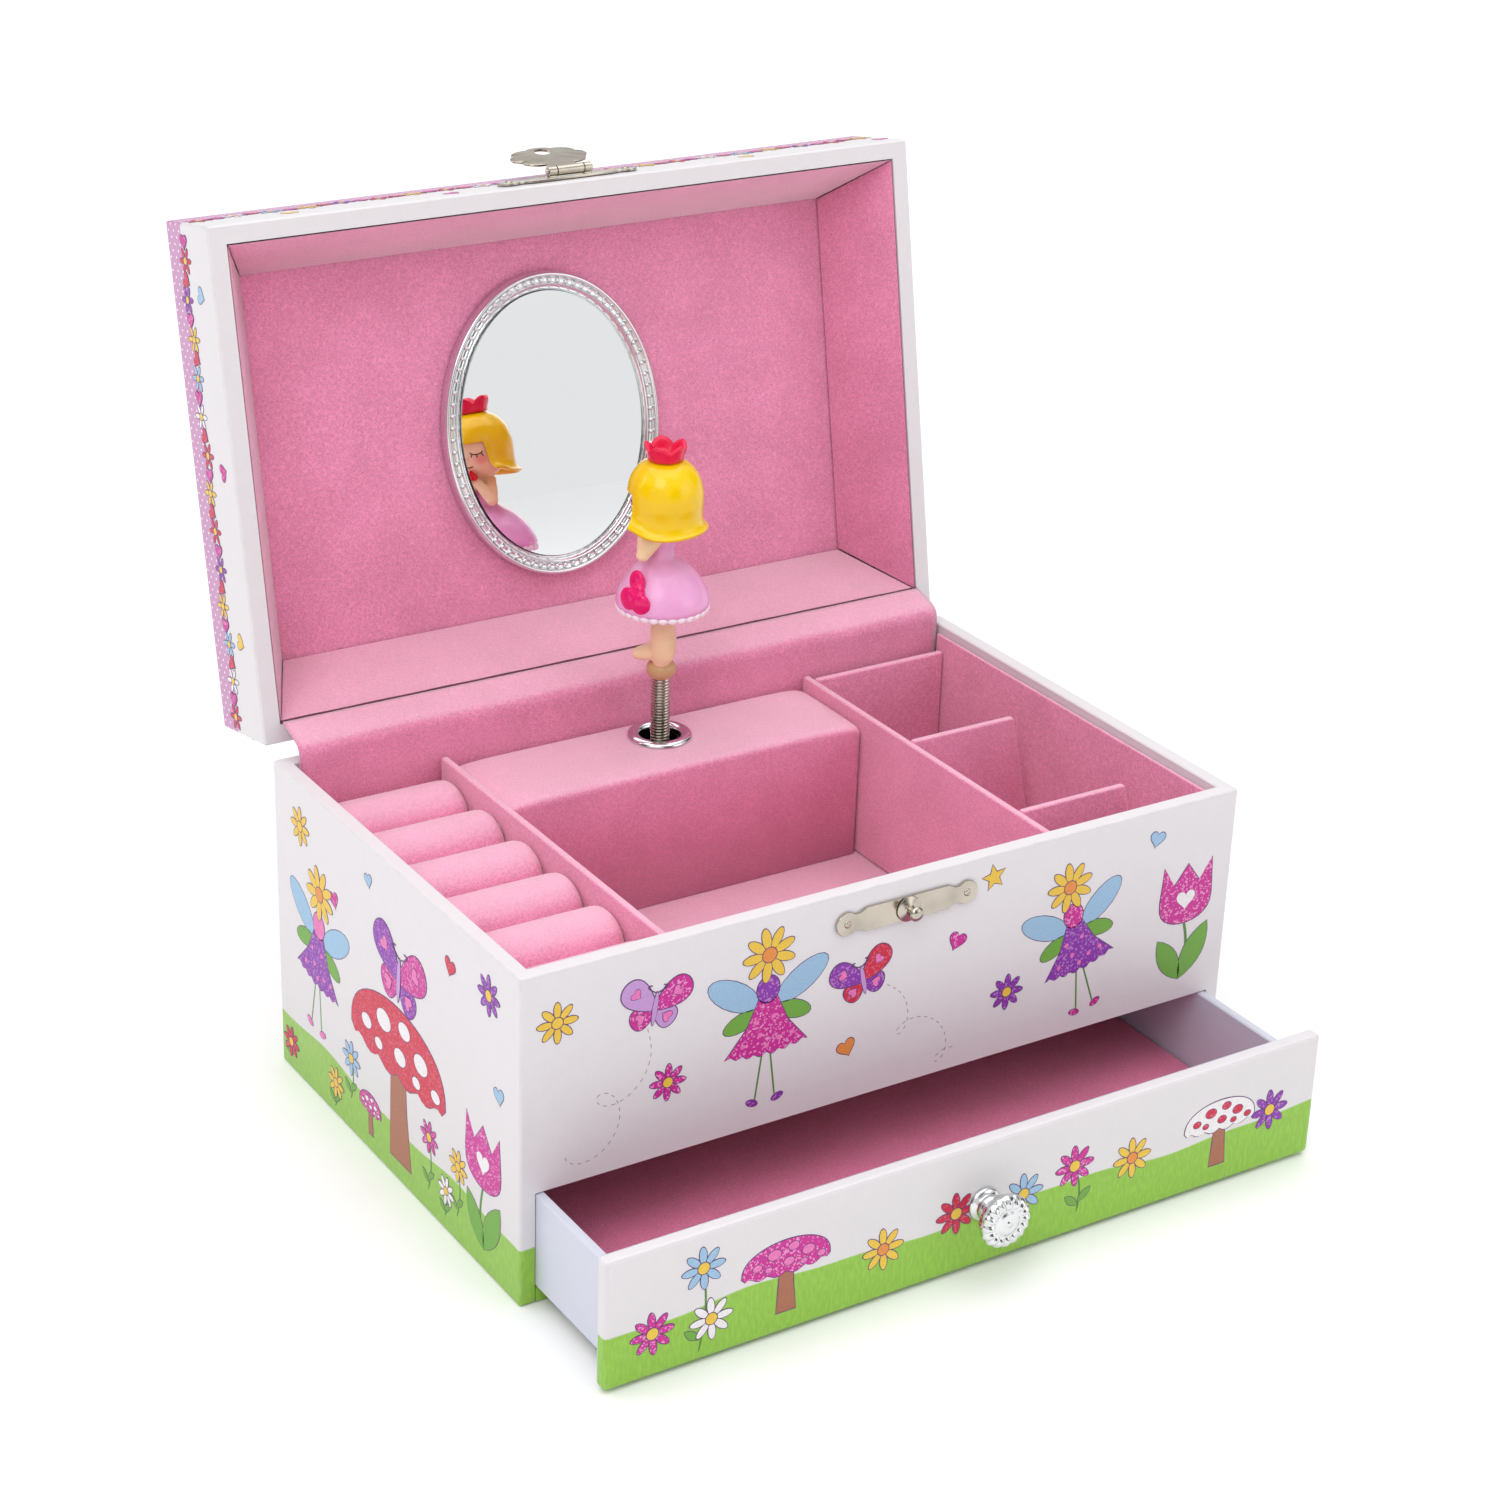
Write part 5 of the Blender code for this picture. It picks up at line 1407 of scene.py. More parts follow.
class JEWELLERY_OT_figure(bpy.types.Operator):
    """Coil spring and the moulded dancing figure on it"""
    bl_idname = "jewellery.figure"
    bl_label = "Figure"

    def execute(self, context):
        self.spring()
        self.body_and_head()
        self.face()
        self.dress()
        self.hair()
        self.crown()
        return {"FINISHED"}

    def spring(self):
        """A close-wound helix: a circle whose height rises evenly with its angle."""
        low, high = corners("ballerina_spring")
        wire = sizes().wire
        pitch = wire * 1.06
        turns = (high[2] - low[2] - wire) / pitch
        angle = np.linspace(0, 2 * math.pi * turns, int(turns * 28))
        radius = (high[0] - low[0]) / 2 - wire / 2
        path = np.stack([radius * np.cos(angle), radius * np.sin(angle),
                         low[2] + wire / 2 + pitch * angle / (2 * math.pi)], axis=1) + FIGURE
        piece = make_piece("coil_spring", [tube(path, wire / 2, 8)], "steel",
                           stands_for=("ballerina_spring",))
        bend = JOINTS["figure_fold"]["pos_m"][2]
        bend - 9 * MM
        bend + 8 * MM
        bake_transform(piece)

    def body_and_head(self):
        """Overlapping limbs and balls, fused into one moulding."""
        shells = [ball(HEAD, (HEAD_RADIUS,) * 3, 28, 40)]
        for side in (-1, 1):
            shells += [arm((-0.3, side * 2.3, 129), (-0.3, side * 2.2, 147), 4.2, 3.8),
                       arm((-0.6, side * 2.4, 131), (-0.6, side * 2.4, 136), 4.6, 3.6),
                       arm((0.6, side * 1.8, 129.6), (7.8, side * 1.2, 128.2), 3.2, 1.8),
                       arm((0.8, side * 3.4, 171.2), (6.0, side * 5.2, 165.2), 2.1, 2.5),
                       arm((6.0, side * 5.2, 165.2), (6.6, side * 1.2, 171.4), 2.4, 1.8)]
        shells += [arm((-0.3, -2.6, 171.6), (-0.3, 2.6, 171.6), 2.2, 2.2),
                   arm((0, 0, 171), (0, 0, 176), 2.6, 2.6), arm((0, 0, 146), (0, 0, 165), 2.5, 2.5)]
        piece = make_piece("moulded_body", shells, "skin", "ballerina",
                           ("ballerina_body",))
        fuse(piece, 0.4 * MM, 4)
        top = corners("ballerina_spring")[1][2] - 0.3 * MM
        profile = np.array([(0, 0), (3.3, 0), (4.2, 0.8), (4.9, 2.0), (5.0, 3.4), (4.4, 4.8), (3.0, 5.8),
                            (0, 6.2)]) * MM
        profile = bezier_through(profile, np.linspace(0, 1, 26))
        profile[:, 0] = np.maximum(profile[:, 0], 0)
        # The socket under the feet is skin plastic tinted darker, as painted shade.
        make_piece("figure_socket", [lathe(profile, FIGURE + [0, 0, top], sides=40)],
                   "socket", "ballerina", smooth=70)

    def on_face(self, across, up):
        """Forward, sideways and up of a spot on the front of the head."""
        forward = math.sqrt(HEAD_RADIUS ** 2 - across ** 2 - up ** 2)
        return np.array([forward, across, up]) + HEAD

    def face(self):
        """Closed eyes with lashes, a small nose and a smile, as thin strokes on the head."""
        strokes = []
        for side in (-1, 1):
            arc = [self.on_face(side * 4.1 + 2.1 * math.cos(a), -0.6 + 1.2 * math.sin(a))
                   for a in np.linspace(math.pi * 1.05, math.pi * 1.95, 12)]
            strokes.append(arc)
            for lean in (-1.5, 0, 1.5):
                dip = -0.6 - 1.2 * math.sqrt(1 - (lean / 2.1) ** 2 * 0.9)
                strokes.append([self.on_face(side * 4.1 + lean, dip),
                                self.on_face(side * 4.1 + lean * 1.35, dip - 1.1)])
        strokes.append([self.on_face(a, -6.1 + 0.12 * a * a) for a in np.linspace(-1.5, 1.5, 7)])
        shells = [tube(on_figure(stroke), 0.2 * MM, 8) for stroke in strokes]
        make_piece("lashes_and_smile", shells, "lash", "ballerina")
        make_piece("small_nose", [ball(self.on_face(0, -2.9), (0.8, 0.75, 0.6), 10, 14)], "skin",
                   "ballerina")
        heart = heart_outline(4.4 * MM, 24)
        half = 1.3 * MM
        rows = []
        for turn in np.linspace(0, math.pi, 9):
            rows.append(np.column_stack([heart * max(math.sin(turn), 0.02) ** 0.5,
                                         np.full(len(heart), -half * math.cos(turn))]))
        local = np.array(rows).reshape(-1, 3)
        points = on_figure(np.stack([8.3 + local[:, 2] / MM, local[:, 0] / MM,
                                     174.2 - local[:, 1] / MM], axis=1)).reshape(len(rows), -1, 3)
        make_piece("held_heart", [grid(points, round_v=True, caps=True)], "heart", "ballerina",
                   smooth=70)

    def dress(self):
        """Skirt and bodice are one turned bell; white scallops hang from its hem and a bow with
        three loops sits on the hip."""
        low, high = corners("ballerina_skirt")
        wide = (high[0] - low[0]) / 2
        hem = low[2]
        outer = np.array([(3.5, 171.2), (3.5, 168), (3.5, 165), (3.9, 163.2), (5.6, 161.8), (8.4, 159.8),
                          (11.4, 156.6), (13.6, 153.4), (15, 150.2), (15.5, 148), (15.4, 146.9),
                          (15, 146.3)]) * MM
        outer[:, 0] *= wide / outer[:, 0].max()
        inner = np.array([(14.3, 146.5), (14.2, 148), (12.6, 152.8), (10, 156.2), (7, 159), (3.2, 161),
                          (1.6, 163), (1.5, 171)]) * MM
        smooth_outer = bezier_through(outer, np.linspace(0, 1, 40))
        shell = lathe(np.concatenate([smooth_outer, inner]), FIGURE, closed=True, sides=72)
        make_piece("bell_dress", [shell], "skirt", "ballerina", ("ballerina_skirt",), 60)
        count = 30
        scallops = []
        for angle in np.linspace(0, 2 * math.pi, count, endpoint=False):
            centre = FIGURE + [14.7 * MM * math.cos(angle), 14.7 * MM * math.sin(angle), hem - 0.1 * MM]
            across = np.array([[math.cos(angle), math.sin(angle), 0],
                               [-math.sin(angle), math.cos(angle), 0], [0, 0, 1]])
            scallops.append(ellipsoid(centre, (0.9 * MM, 1.6 * MM, 1.3 * MM), across, 10, 14))
        make_piece("hem_scallops", scallops, "trim", "ballerina")
        self.bow()

    def bow(self):
        """Three loops and a knot: balls flattened against the skirt and fused."""
        lean = math.radians(52)                         # round from the front, on the figure's left
        loops = ((0, 156.8, 11.9, 3.4, 4.4), (-5, 151.4, 14.5, 4.0, 4.2), (15, 150.9, 14.7, 3.6, 3.8),
                 (6, 154.2, 13.3, 3.0, 3.0))
        shells = []
        for offset, height, out, wide, tall in loops:
            angle = lean + math.radians(offset)
            shells.append(ball_on(angle, out, height, (1.6, wide, tall)))
        piece = make_piece("hip_bow", shells, "bow", "ballerina")
        fuse(piece, 0.3 * MM, 8)

    def hair(self):
        """A bell: one smooth profile from the top of the head out to a flared tip, followed only as
        far as each angle's share: short at the fringe, full length at the sides and back.  The
        locks beside the face curl up and out."""
        sides = 120
        turn = np.linspace(-math.pi, math.pi, sides, endpoint=False)
        side = smooth_step((np.abs(turn) - 0.66) / 0.2)
        lock = np.exp(-((np.abs(turn) - 0.88) / 0.32) ** 2) * side
        outline = np.array([(0, 197), (3.2, 196.7), (7.8, 194.9), (11.0, 191.2), (12.5, 186.8),
                            (12.8, 182.8), (12.6, 179.4), (12.7, 176.8), (13.4, 174.9), (14.6, 173.9)])
        rows = []
        for share in np.linspace(0, 1, 40):
            at = share * (0.47 + 0.53 * side)
            out, rise = bezier_through(outline, at).T
            out = out + 1.9 * lock * share ** 4 - 0.4 * (1 - side) * share ** 2
            curl = 3.2 * lock * share ** 3 + 0.35 * np.sin(turn * 3) * side * share ** 4
            rows.append((out, rise + curl))
        points = np.array([np.stack([out * np.cos(turn), out * np.sin(turn), rise], axis=1)
                           for out, rise in rows])
        shape = on_figure(points.reshape(-1, 3)).reshape(points.shape)
        piece = make_piece("bell_hair", [grid(shape, round_v=True)], "hair",
                           stands_for=("ballerina_hair",), smooth=70)
        wall = piece.modifiers.new("wall", "SOLIDIFY")
        wall.thickness = 1.3 * MM
        wall.offset = -1
        ease = piece.modifiers.new("ease", "SUBSURF")
        ease.levels = 1
        ease.render_levels = 1
        bake_modifiers(piece)
        piece.data.shade_smooth()
        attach(piece, "ballerina")

    def crown(self):
        """A ring whose top edge rises to five rounded points, thicker below and leaning out."""
        low, high = corners("ballerina_crown")
        sides = 100
        points = 5
        turn = np.linspace(0, 2 * math.pi, sides, endpoint=False)
        peak = np.abs(np.cos(turn * points / 2)) ** 0.9
        base = low[2]
        tall = (high[2] - base)
        top = base + tall * (0.56 + 0.42 * peak)
        rows = []
        for out, share in ((5.4, 0), (5.9, 0.05), (6.1, 0.35), (6.6, 0.72), (7.0, 0.92), (6.8, 1.0),
                           (6.1, 1.0), (5.2, 0.8), (4.6, 0.5), (4.2, 0.3), (0.02, 0.28)):
            radius = out * MM - 0.4 * MM * (1 - peak) * share
            rows.append(np.stack([radius * np.cos(turn), radius * np.sin(turn),
                                  base + (top - base) * share], axis=1) + FIGURE)
        make_piece("five_point_crown", [grid(np.array(rows), round_v=True, caps=True)], "crown",
                   "ballerina", ("ballerina_crown",), 70)


def smooth_step(share):
    """0 to 1, eased by 3 squares less 2 cubes."""
    share = np.clip(share, 0, 1)
    return share * share * (3 - 2 * share)


def ball_on(angle, out, height, radii):
    """A ball facing outwards at an angle from the figure's front, radii out, round and up."""
    outward = AHEAD * math.cos(angle) + ASIDE * math.sin(angle)
    across = np.cross([0, 0, 1], outward)
    centre = FIGURE + outward * out * MM + [0, 0, height * MM]
    return ellipsoid(centre, np.array(radii) * MM, [outward, across, [0, 0, 1]], 16, 24)


def heart_outline(width, count=28):
    """The usual heart: x is a sine cubed, y a sum of four cosines."""
    t = np.linspace(0, 2 * math.pi, count, endpoint=False)
    x = 16 * np.sin(t) ** 3
    y = 13 * np.cos(t) - 5 * np.cos(2 * t) - 2 * np.cos(3 * t) - np.cos(4 * t)
    return np.stack([x, y], axis=1)[::-1] * width / 32


# ---- print ----
INKS = {
    "line": (*linear(92, 52, 110), 0), "magenta": (*linear(208, 34, 150), 1),
    "purple": (*linear(140, 50, 176), 0.6), "yellow": (*linear(246, 206, 62), 0),
    "orange": (*linear(240, 150, 60), 0), "red": (*linear(214, 30, 58), 0.3),
    "sky": (*linear(160, 202, 232), 0), "white": (*linear(250, 246, 248), 0),
    "pink": (*linear(240, 120, 190), 0.3), "leaf": (*linear(112, 178, 52), 0),
    "dark_leaf": (*linear(82, 142, 44), 0), "trunk": (*linear(176, 112, 78), 0),
    "lilac": (*linear(204, 160, 220), 0), "grey": (*linear(150, 140, 158), 0),
}


def turned_flat(points, degrees):
    """Flat points turned counter-clockwise."""
    angle = math.radians(degrees)
    turn = np.array([[math.cos(angle), math.sin(angle)], [-math.sin(angle), math.cos(angle)]])
    return np.asarray(points) @ turn


def oval(half_x, half_y, centre=(0, 0), turn=0, count=18):
    """A cosine across and a sine up, then turned and moved."""
    t = np.linspace(0, 2 * math.pi, count, endpoint=False)
    return turned_flat(np.stack([half_x * np.cos(t), half_y * np.sin(t)], axis=1), turn) + centre


class Artwork:
    """Flat inked shapes of one panel, in millimetres.  Higher layers lie over lower ones."""

    def __init__(self):
        self.shapes = []

    def draw(self, kind, *each):
        """The same motif several times."""
        for settings in each:
            getattr(self, kind)(*settings)

    def shape(self, outline, ink, place=(0, 0), layer=1):
        self.shapes.append((np.asarray(outline) + place, INKS[ink], layer))

    def edged(self, outline, ink, place, layer=1, line=0.35):
        """A shape over a slightly larger dark one."""
        outline = np.asarray(outline)
        middle = outline.mean(axis=0)
        reach = np.linalg.norm(outline - middle, axis=1, keepdims=True)
        grown = middle + (outline - middle) * (1 + line / np.maximum(reach, line))
        self.shape(grown, "line", place, layer)
        self.shape(outline, ink, place, layer + 1)

    def stroke(self, path, width, ink, place=(0, 0), layer=1):
        """A line of even width, its ends pinched."""
        path = np.asarray(path, float)
        along = np.gradient(path, axis=0)
        along /= np.linalg.norm(along, axis=1, keepdims=True) + 1e-9
        side = np.stack([-along[:, 1], along[:, 0]], axis=1) * width / 2
        taper = np.ones((len(path), 1))
        taper[[0, -1]] = 0.5
        self.shape(np.concatenate([path - side * taper, (path + side * taper)[::-1]]), ink, place, layer)

    def flower(self, place, size, ink, eye="yellow", petals=8, layer=3):
        for number in range(petals):
            turn = 360 / petals * number + size * 7
            reach = turned_flat([(size * 0.62, 0)], turn)[0]
            over = layer + 2 * (number % 2)
            self.edged(oval(size * 0.40, size * 0.17, reach, turn, 14), ink, place, over, 0.3)
        self.edged(oval(size * 0.27, size * 0.27), eye, place, layer + 4, 0.3)

    def heart(self, place, width, ink, turn=0, layer=3, line=0.3):
        self.edged(turned_flat(heart_outline(width), turn), ink, place, layer, line)

    def star(self, place, size, turn):
        t = np.arange(10) * math.pi / 5 + math.pi / 2
        radius = np.where(np.arange(10) % 2, size * 0.42, size)
        points = np.stack([radius * np.cos(t), radius * np.sin(t)], axis=1)
        self.edged(turned_flat(points, turn), "yellow", place, 3)

    def leaf(self, base, length, turn):
        s = np.linspace(0, 1, 9)
        bulge = 0.2 * length * np.sin(s * math.pi) ** 0.8
        side = np.stack([s * length, bulge], axis=1)
        outline = np.concatenate([side * [1, -1], side[::-1][1:-1]])
        self.edged(turned_flat(outline, turn), "leaf", base, 2, 0.25)

    def stem(self, base, top, lean=1.5, width=0.7):
        s = np.linspace(0, 1, 12)[:, None]
        path = np.array(base) + (np.subtract(top, base)) * s
        path[:, 0] += lean * np.sin(s[:, 0] * math.pi)
        self.stroke(path, width, "dark_leaf")

    def daisy(self, base, height, size, ink, lean=1.0):
        """A flower on a stem with two leaves."""
        top = (base[0] + lean, base[1] + height)
        self.stem(base, top)
        self.leaf((base[0], base[1] + height * 0.15), size * 0.9, 140)
        self.leaf((base[0], base[1] + height * 0.22), size * 0.9, 40)
        self.flower(top, size, ink)

    def butterfly(self, place, size, ink, second, turn=0):
        """Two pairs of teardrop wings, a slim body and two curled feelers."""
        wings = ((-32, 0.62, 0.22, second), (212, 0.62, 0.22, ink), (36, 1.0, 0.27, ink),
                 (144, 1.0, 0.27, second))
        for number, (lean, reach, wide, shade) in enumerate(wings):
            centre = turned_flat([(size * reach * 0.46, 0)], lean + turn)[0]
            t = np.linspace(0, 2 * math.pi, 26, endpoint=False)
            drop = np.stack([np.cos(t) * size * reach * 0.46,
                             np.sin(t) * size * wide * (1 + 0.45 * np.cos(t))], axis=1)
            self.edged(turned_flat(drop, lean + turn) + centre, shade, place, 1 + 2 * number, 0.35)
            spot = "magenta" if shade == "pink" else "pink"
            self.heart(np.add(place, centre * 1.25), size * 0.24, spot, lean + turn - 90, 9, 0.2)
        self.edged(oval(size * 0.36, size * 0.055, (0, 0), turn + 90, 14), "lilac", place, 11, 0.3)
        for side in (-1, 1):
            t = np.linspace(0, 1, 16)
            curl = np.stack([side * (0.02 + 0.20 * np.sin(t * 2.6)),
                             0.34 + 0.26 * t - 0.1 * t ** 3], axis=1)
            self.stroke(turned_flat(curl * size, turn), 0.3, "line", place, 12)

    def flight(self, start, end, loops, swing):
        """Short dashes along a looping line: a straight run plus a circle."""
        t = np.linspace(0, 1, 400)
        angle = 2 * math.pi * loops * t
        path = np.array(start) + np.subtract(end, start) * t[:, None]
        circle = np.stack([np.sin(angle), np.cos(angle) - 1], axis=1)
        path += swing * np.sin(math.pi * t)[:, None] ** 0.5 * circle
        far = np.concatenate([[0], np.cumsum(np.linalg.norm(np.diff(path, axis=0), axis=1))])
        dash, gap = 1.5, 1.3
        for begin in np.arange(0, far[-1] - dash, dash + gap):
            at = np.linspace(begin, begin + dash, 4)
            points = np.stack([np.interp(at, far, path[:, axis]) for axis in (0, 1)], axis=1)
            self.stroke(points, 0.26, "grey")

    def toadstool(self, base, height, width, cap, spot):
        """A domed cap with round spots, a wavy lower edge and a stout stalk."""
        cap_low = base[1] + height * 0.62
        stalk = [(-0.10, 0), (0.13, 0), (0.09, 0.35), (0.08, 0.68), (-0.07, 0.68), (-0.08, 0.35)]
        self.edged(np.array(stalk) * [width, height], "trunk", base, 1)
        t = np.linspace(0, math.pi, 22)
        dome = np.stack([np.cos(t) * width / 2, np.sin(t) ** 0.8 * height * 0.36], axis=1)
        under = np.linspace(-1, 1, 25)[1:-1]
        wave = np.stack([under * width / 2, -0.05 * height * np.abs(np.sin(under * math.pi * 2.5))
                         - 0.06 * height * (1 - under ** 2)], axis=1)
        self.edged(np.concatenate([dome, wave]), cap, (base[0], cap_low), 3)
        for x, y, size in ((-0.33, 0.09, 0.052), (-0.14, 0.2, 0.075), (0.08, 0.25, 0.06),
                           (0.03, 0.06, 0.06), (0.25, 0.14, 0.07), (-0.2, 0.02, 0.04),
                           (0.4, 0.03, 0.045), (0.2, 0, 0.04)):
            self.edged(oval(size * width, size * width * 0.75), spot,
                       (base[0] + x * width, cap_low + y * height), 5, 0.25)

    def tulip(self, base, height, width, ink, bend=1):
        """A cup with three points on a bent stem, with two long leaves."""
        cup_low = base[1] + height * 0.48
        self.stem(base, (base[0], cup_low + 1), lean=bend * 2, width=1.1)
        self.leaf((base[0], base[1]), height * 0.5, 62)
        self.leaf((base[0], base[1]), height * 0.44, 122)
        t = np.linspace(0, math.pi, 14)
        bowl = np.stack([-np.cos(t) * 0.5, 0.42 - 0.42 * np.sin(t) ** 0.7], axis=1)
        points = [(0.46, 1.0), (0.24, 0.66), (0, 0.98), (-0.24, 0.66), (-0.46, 1.0)]
        outline = np.concatenate([bowl, points]) * [width, height * 0.5]
        self.edged(outline, ink, (base[0], cup_low), 3)
        self.heart((base[0], cup_low + height * 0.2), width * 0.36, "white", 0, 5, 0.1)

    def bellflower(self, base, height, ink, second, turn=0):
        """A hanging bell with a scalloped, spotted skirt under a round flower, on two thin stems."""
        def at(points):
            return turned_flat(np.asarray(points, float) * height, turn)

        for side in (-1, 1):
            s = np.linspace(0, 1, 10)
            path = np.stack([side * (0.02 + 0.04 * s), 0.32 - 0.3 * s], axis=1)
            self.stroke(at(path), 0.6, "dark_leaf", base, 1)
            self.edged(at(oval(0.035, 0.018, (side * 0.075, 0.02), 20 * side, 12)), second, base, 3, 0.25)
            self.edged(at(oval(0.17, 0.075, (side * 0.2, 0.66), side * 32, 18)), "sky", base, 1, 0.3)
            self.edged(at(oval(0.11, 0.05, (side * 0.15, 0.5), side * -18, 16)), "leaf", base, 1, 0.3)
        hem = np.linspace(1, -1, 33)
        lower = np.stack([hem * 0.24, 0.3 - 0.022 * np.abs(np.sin(hem * math.pi * 3.5))
                          + 0.03 * hem ** 2], axis=1)
        waist = [(-0.12, 0.45), (-0.055, 0.6), (0.055, 0.6), (0.12, 0.45)]
        self.edged(at(np.concatenate([lower, waist])), ink, base, 3)
        for x, y in ((-0.14, 0.36), (-0.04, 0.4), (0.07, 0.36), (0.15, 0.37), (-0.07, 0.48), (0.04, 0.49),
                     (0.0, 0.33)):
            self.shape(at(oval(0.014, 0.014, (x, y), 0, 10)), "pink", base, 5)
        self.edged(at(oval(0.065, 0.075, (0, 0.65))), second, base, 4)
        self.flower(np.add(base, at([(0, 0.84)])[0]), height * 0.15, "yellow", "orange", 9, 5)

    def piece(self, name, place, body):
        """Each shape becomes a thin closed film; place turns x, y and lift into the model's frame."""
        lift = sizes().print_lift
        shells, inks = [], []
        for outline, ink, layer in self.shapes:
            flat = outline * MM
            rows = np.array([np.column_stack([flat, np.full(len(flat), z)])
                             for z in (-0.02 * MM, lift * (1 + layer))])
            points, faces = grid(rows, round_v=True, caps=True)
            shells.append((place(points), faces))
            inks.append(np.tile(ink, (len(points), 1)))
        piece = make_piece(name, shells, "ink", body, smooth=0, weld=False)
        bm = bmesh.new()
        bm.from_mesh(piece.data)
        bmesh.ops.recalc_face_normals(bm, faces=bm.faces)
        bm.to_mesh(piece.data)
        bm.free()
        colour = piece.data.color_attributes.new("ink", "FLOAT_COLOR", "POINT")
        colour.data.foreach_set("color", np.concatenate(inks).astype(np.float32).ravel())


def panel_frame(across, out, face):
    """A placing function: x runs across, y up, and lift out of a face at its distance."""
    def place(points):
        return points @ np.array([across, (0, 0, 1), out], float) + np.array(out) * face
    return place


class JEWELLERY_OT_prints(bpy.types.Operator):
    """Printed flowers, hearts, butterflies and toadstools on the papers"""
    bl_idname = "jewellery.prints"
    bl_label = "Prints"

    def execute(self, context):
        self.front()
        self.ends()
        self.back()
        self.drawer_front()
        self.lid()
        return {"FINISHED"}

    def front(self):
        """Two flower-headed figures, two butterflies and their flights, a tulip and small flowers."""
        art = Artwork()
        art.draw("flower", ((-118, 92), 6.5, "yellow"), ((-81, 62), 6, "magenta"),
                 ((42, 59), 6, "purple"))
        art.draw("butterfly", ((-86, 88), 15, "magenta", "lilac", -8),
                 ((-13, 78), 14, "red", "purple", 12))
        art.draw("flight", ((-88, 82), (-114, 46), 2, 7), ((-4, 74), (24, 44), 2, 6))
        art.draw("bellflower", ((-47, 45), 60, "magenta", "purple"),
                 ((74, 44), 56, "purple", "magenta", 12))
        art.draw("heart", ((-18, 56), 6.5, "orange", 20), ((21.5, 82.5), 6.5, "magenta", -25),
                 ((98, 99), 6, "sky", -15))
        art.star((34, 101), 4.5, 10)
        art.tulip((112, 45), 43, 21, "magenta")
        art.piece("front_print", panel_frame((1, 0, 0), (0, -1, 0), -CASE_LOW[1]), "case")

    def ends(self):
        """The same scene on both ends, read from the front edge backwards on the right."""
        for side, out in (("left", -1), ("right", 1)):
            art = Artwork()
            art.draw("flower", ((-63, 94), 6.5, "yellow"), ((64, 95), 6.5, "purple"))
            art.draw("heart", ((-39, 79), 6, "magenta", 20), ((40, 93), 6.5, "red", -10),
                     ((70, 65), 6, "sky", 12), ((-14, 97), 5, "sky", 15))
            art.bellflower((-55, 24), 62, "purple", "pink", -6)
            art.draw("toadstool", ((4, 7), 56, 64, "red", "white"),
                     ((-16, 6), 15, 15, "magenta", "white"))
            art.butterfly((6, 72), 22, "magenta", "purple", -6)
            art.tulip((60, 7), 44, 22, "magenta", -1)
            art.draw("daisy", ((-76, 4), 6, 5.5, "red"), ((-42, 3), 9, 5.5, "yellow"),
                     ((-30, 12), 15, 6, "sky"), ((24, 8), 19, 5.5, "magenta"),
                     ((43, 9), 18, 5.5, "yellow"), ((35, 5), 9, 5, "white"))
            art.piece(f"{side}_end_print", panel_frame((0, out, 0), (out, 0, 0), CASE_HIGH[0]), "case")

    def back(self):
        """A row of daisies with a heart over each, and two butterflies."""
        art = Artwork()
        for number in range(9):
            x = -108 + 27 * number
            ink = ("magenta", "yellow", "sky", "purple", "red")[number % 5]
            if abs(x) < 14:
                continue
            art.daisy((x, 5), 14 + 5 * (number % 3), 7, ink, (-1) ** number)
            art.heart((x + 12, 52 + 9 * (number % 4)), 6, ("red", "sky", "orange", "magenta")[number % 4],
                      -20 + 13 * (number % 4))
        art.draw("butterfly", ((-58, 78), 15, "purple", "pink", -10),
                 ((62, 74), 15, "magenta", "lilac", 10))
        art.draw("flight", ((-66, 72), (-108, 50), 2, 7), ((54, 68), (20, 46), 2, 6))
        art.piece("back_print", panel_frame((-1, 0, 0), (0, 1, 0), CASE_HIGH[1]), "case")

    def drawer_front(self):
        """Flowers and two toadstools along the grass."""
        art = Artwork()
        face = -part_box("drawer_front")[0][1]
        art.draw("daisy", ((-99, 4), 28, 7, "sky", 1), ((36, 8), 17, 7, "magenta", -2))
        art.draw("flower", ((-95, 14), 7, "white"), ((-114.5, 15.5), 7, "magenta"),
                 ((-36, 18), 7, "yellow", "orange"), ((-10, 22), 7, "red"), ((15, 21), 7, "sky"),
                 ((56.5, 21), 7, "yellow", "orange"), ((111.5, 22), 7, "purple"))
        art.draw("toadstool", ((-70, 8), 25, 30, "magenta", "pink"), ((91, 8), 24, 28, "white", "red"))
        art.piece("drawer_print", panel_frame((1, 0, 0), (0, -1, 0), face), "drawer")

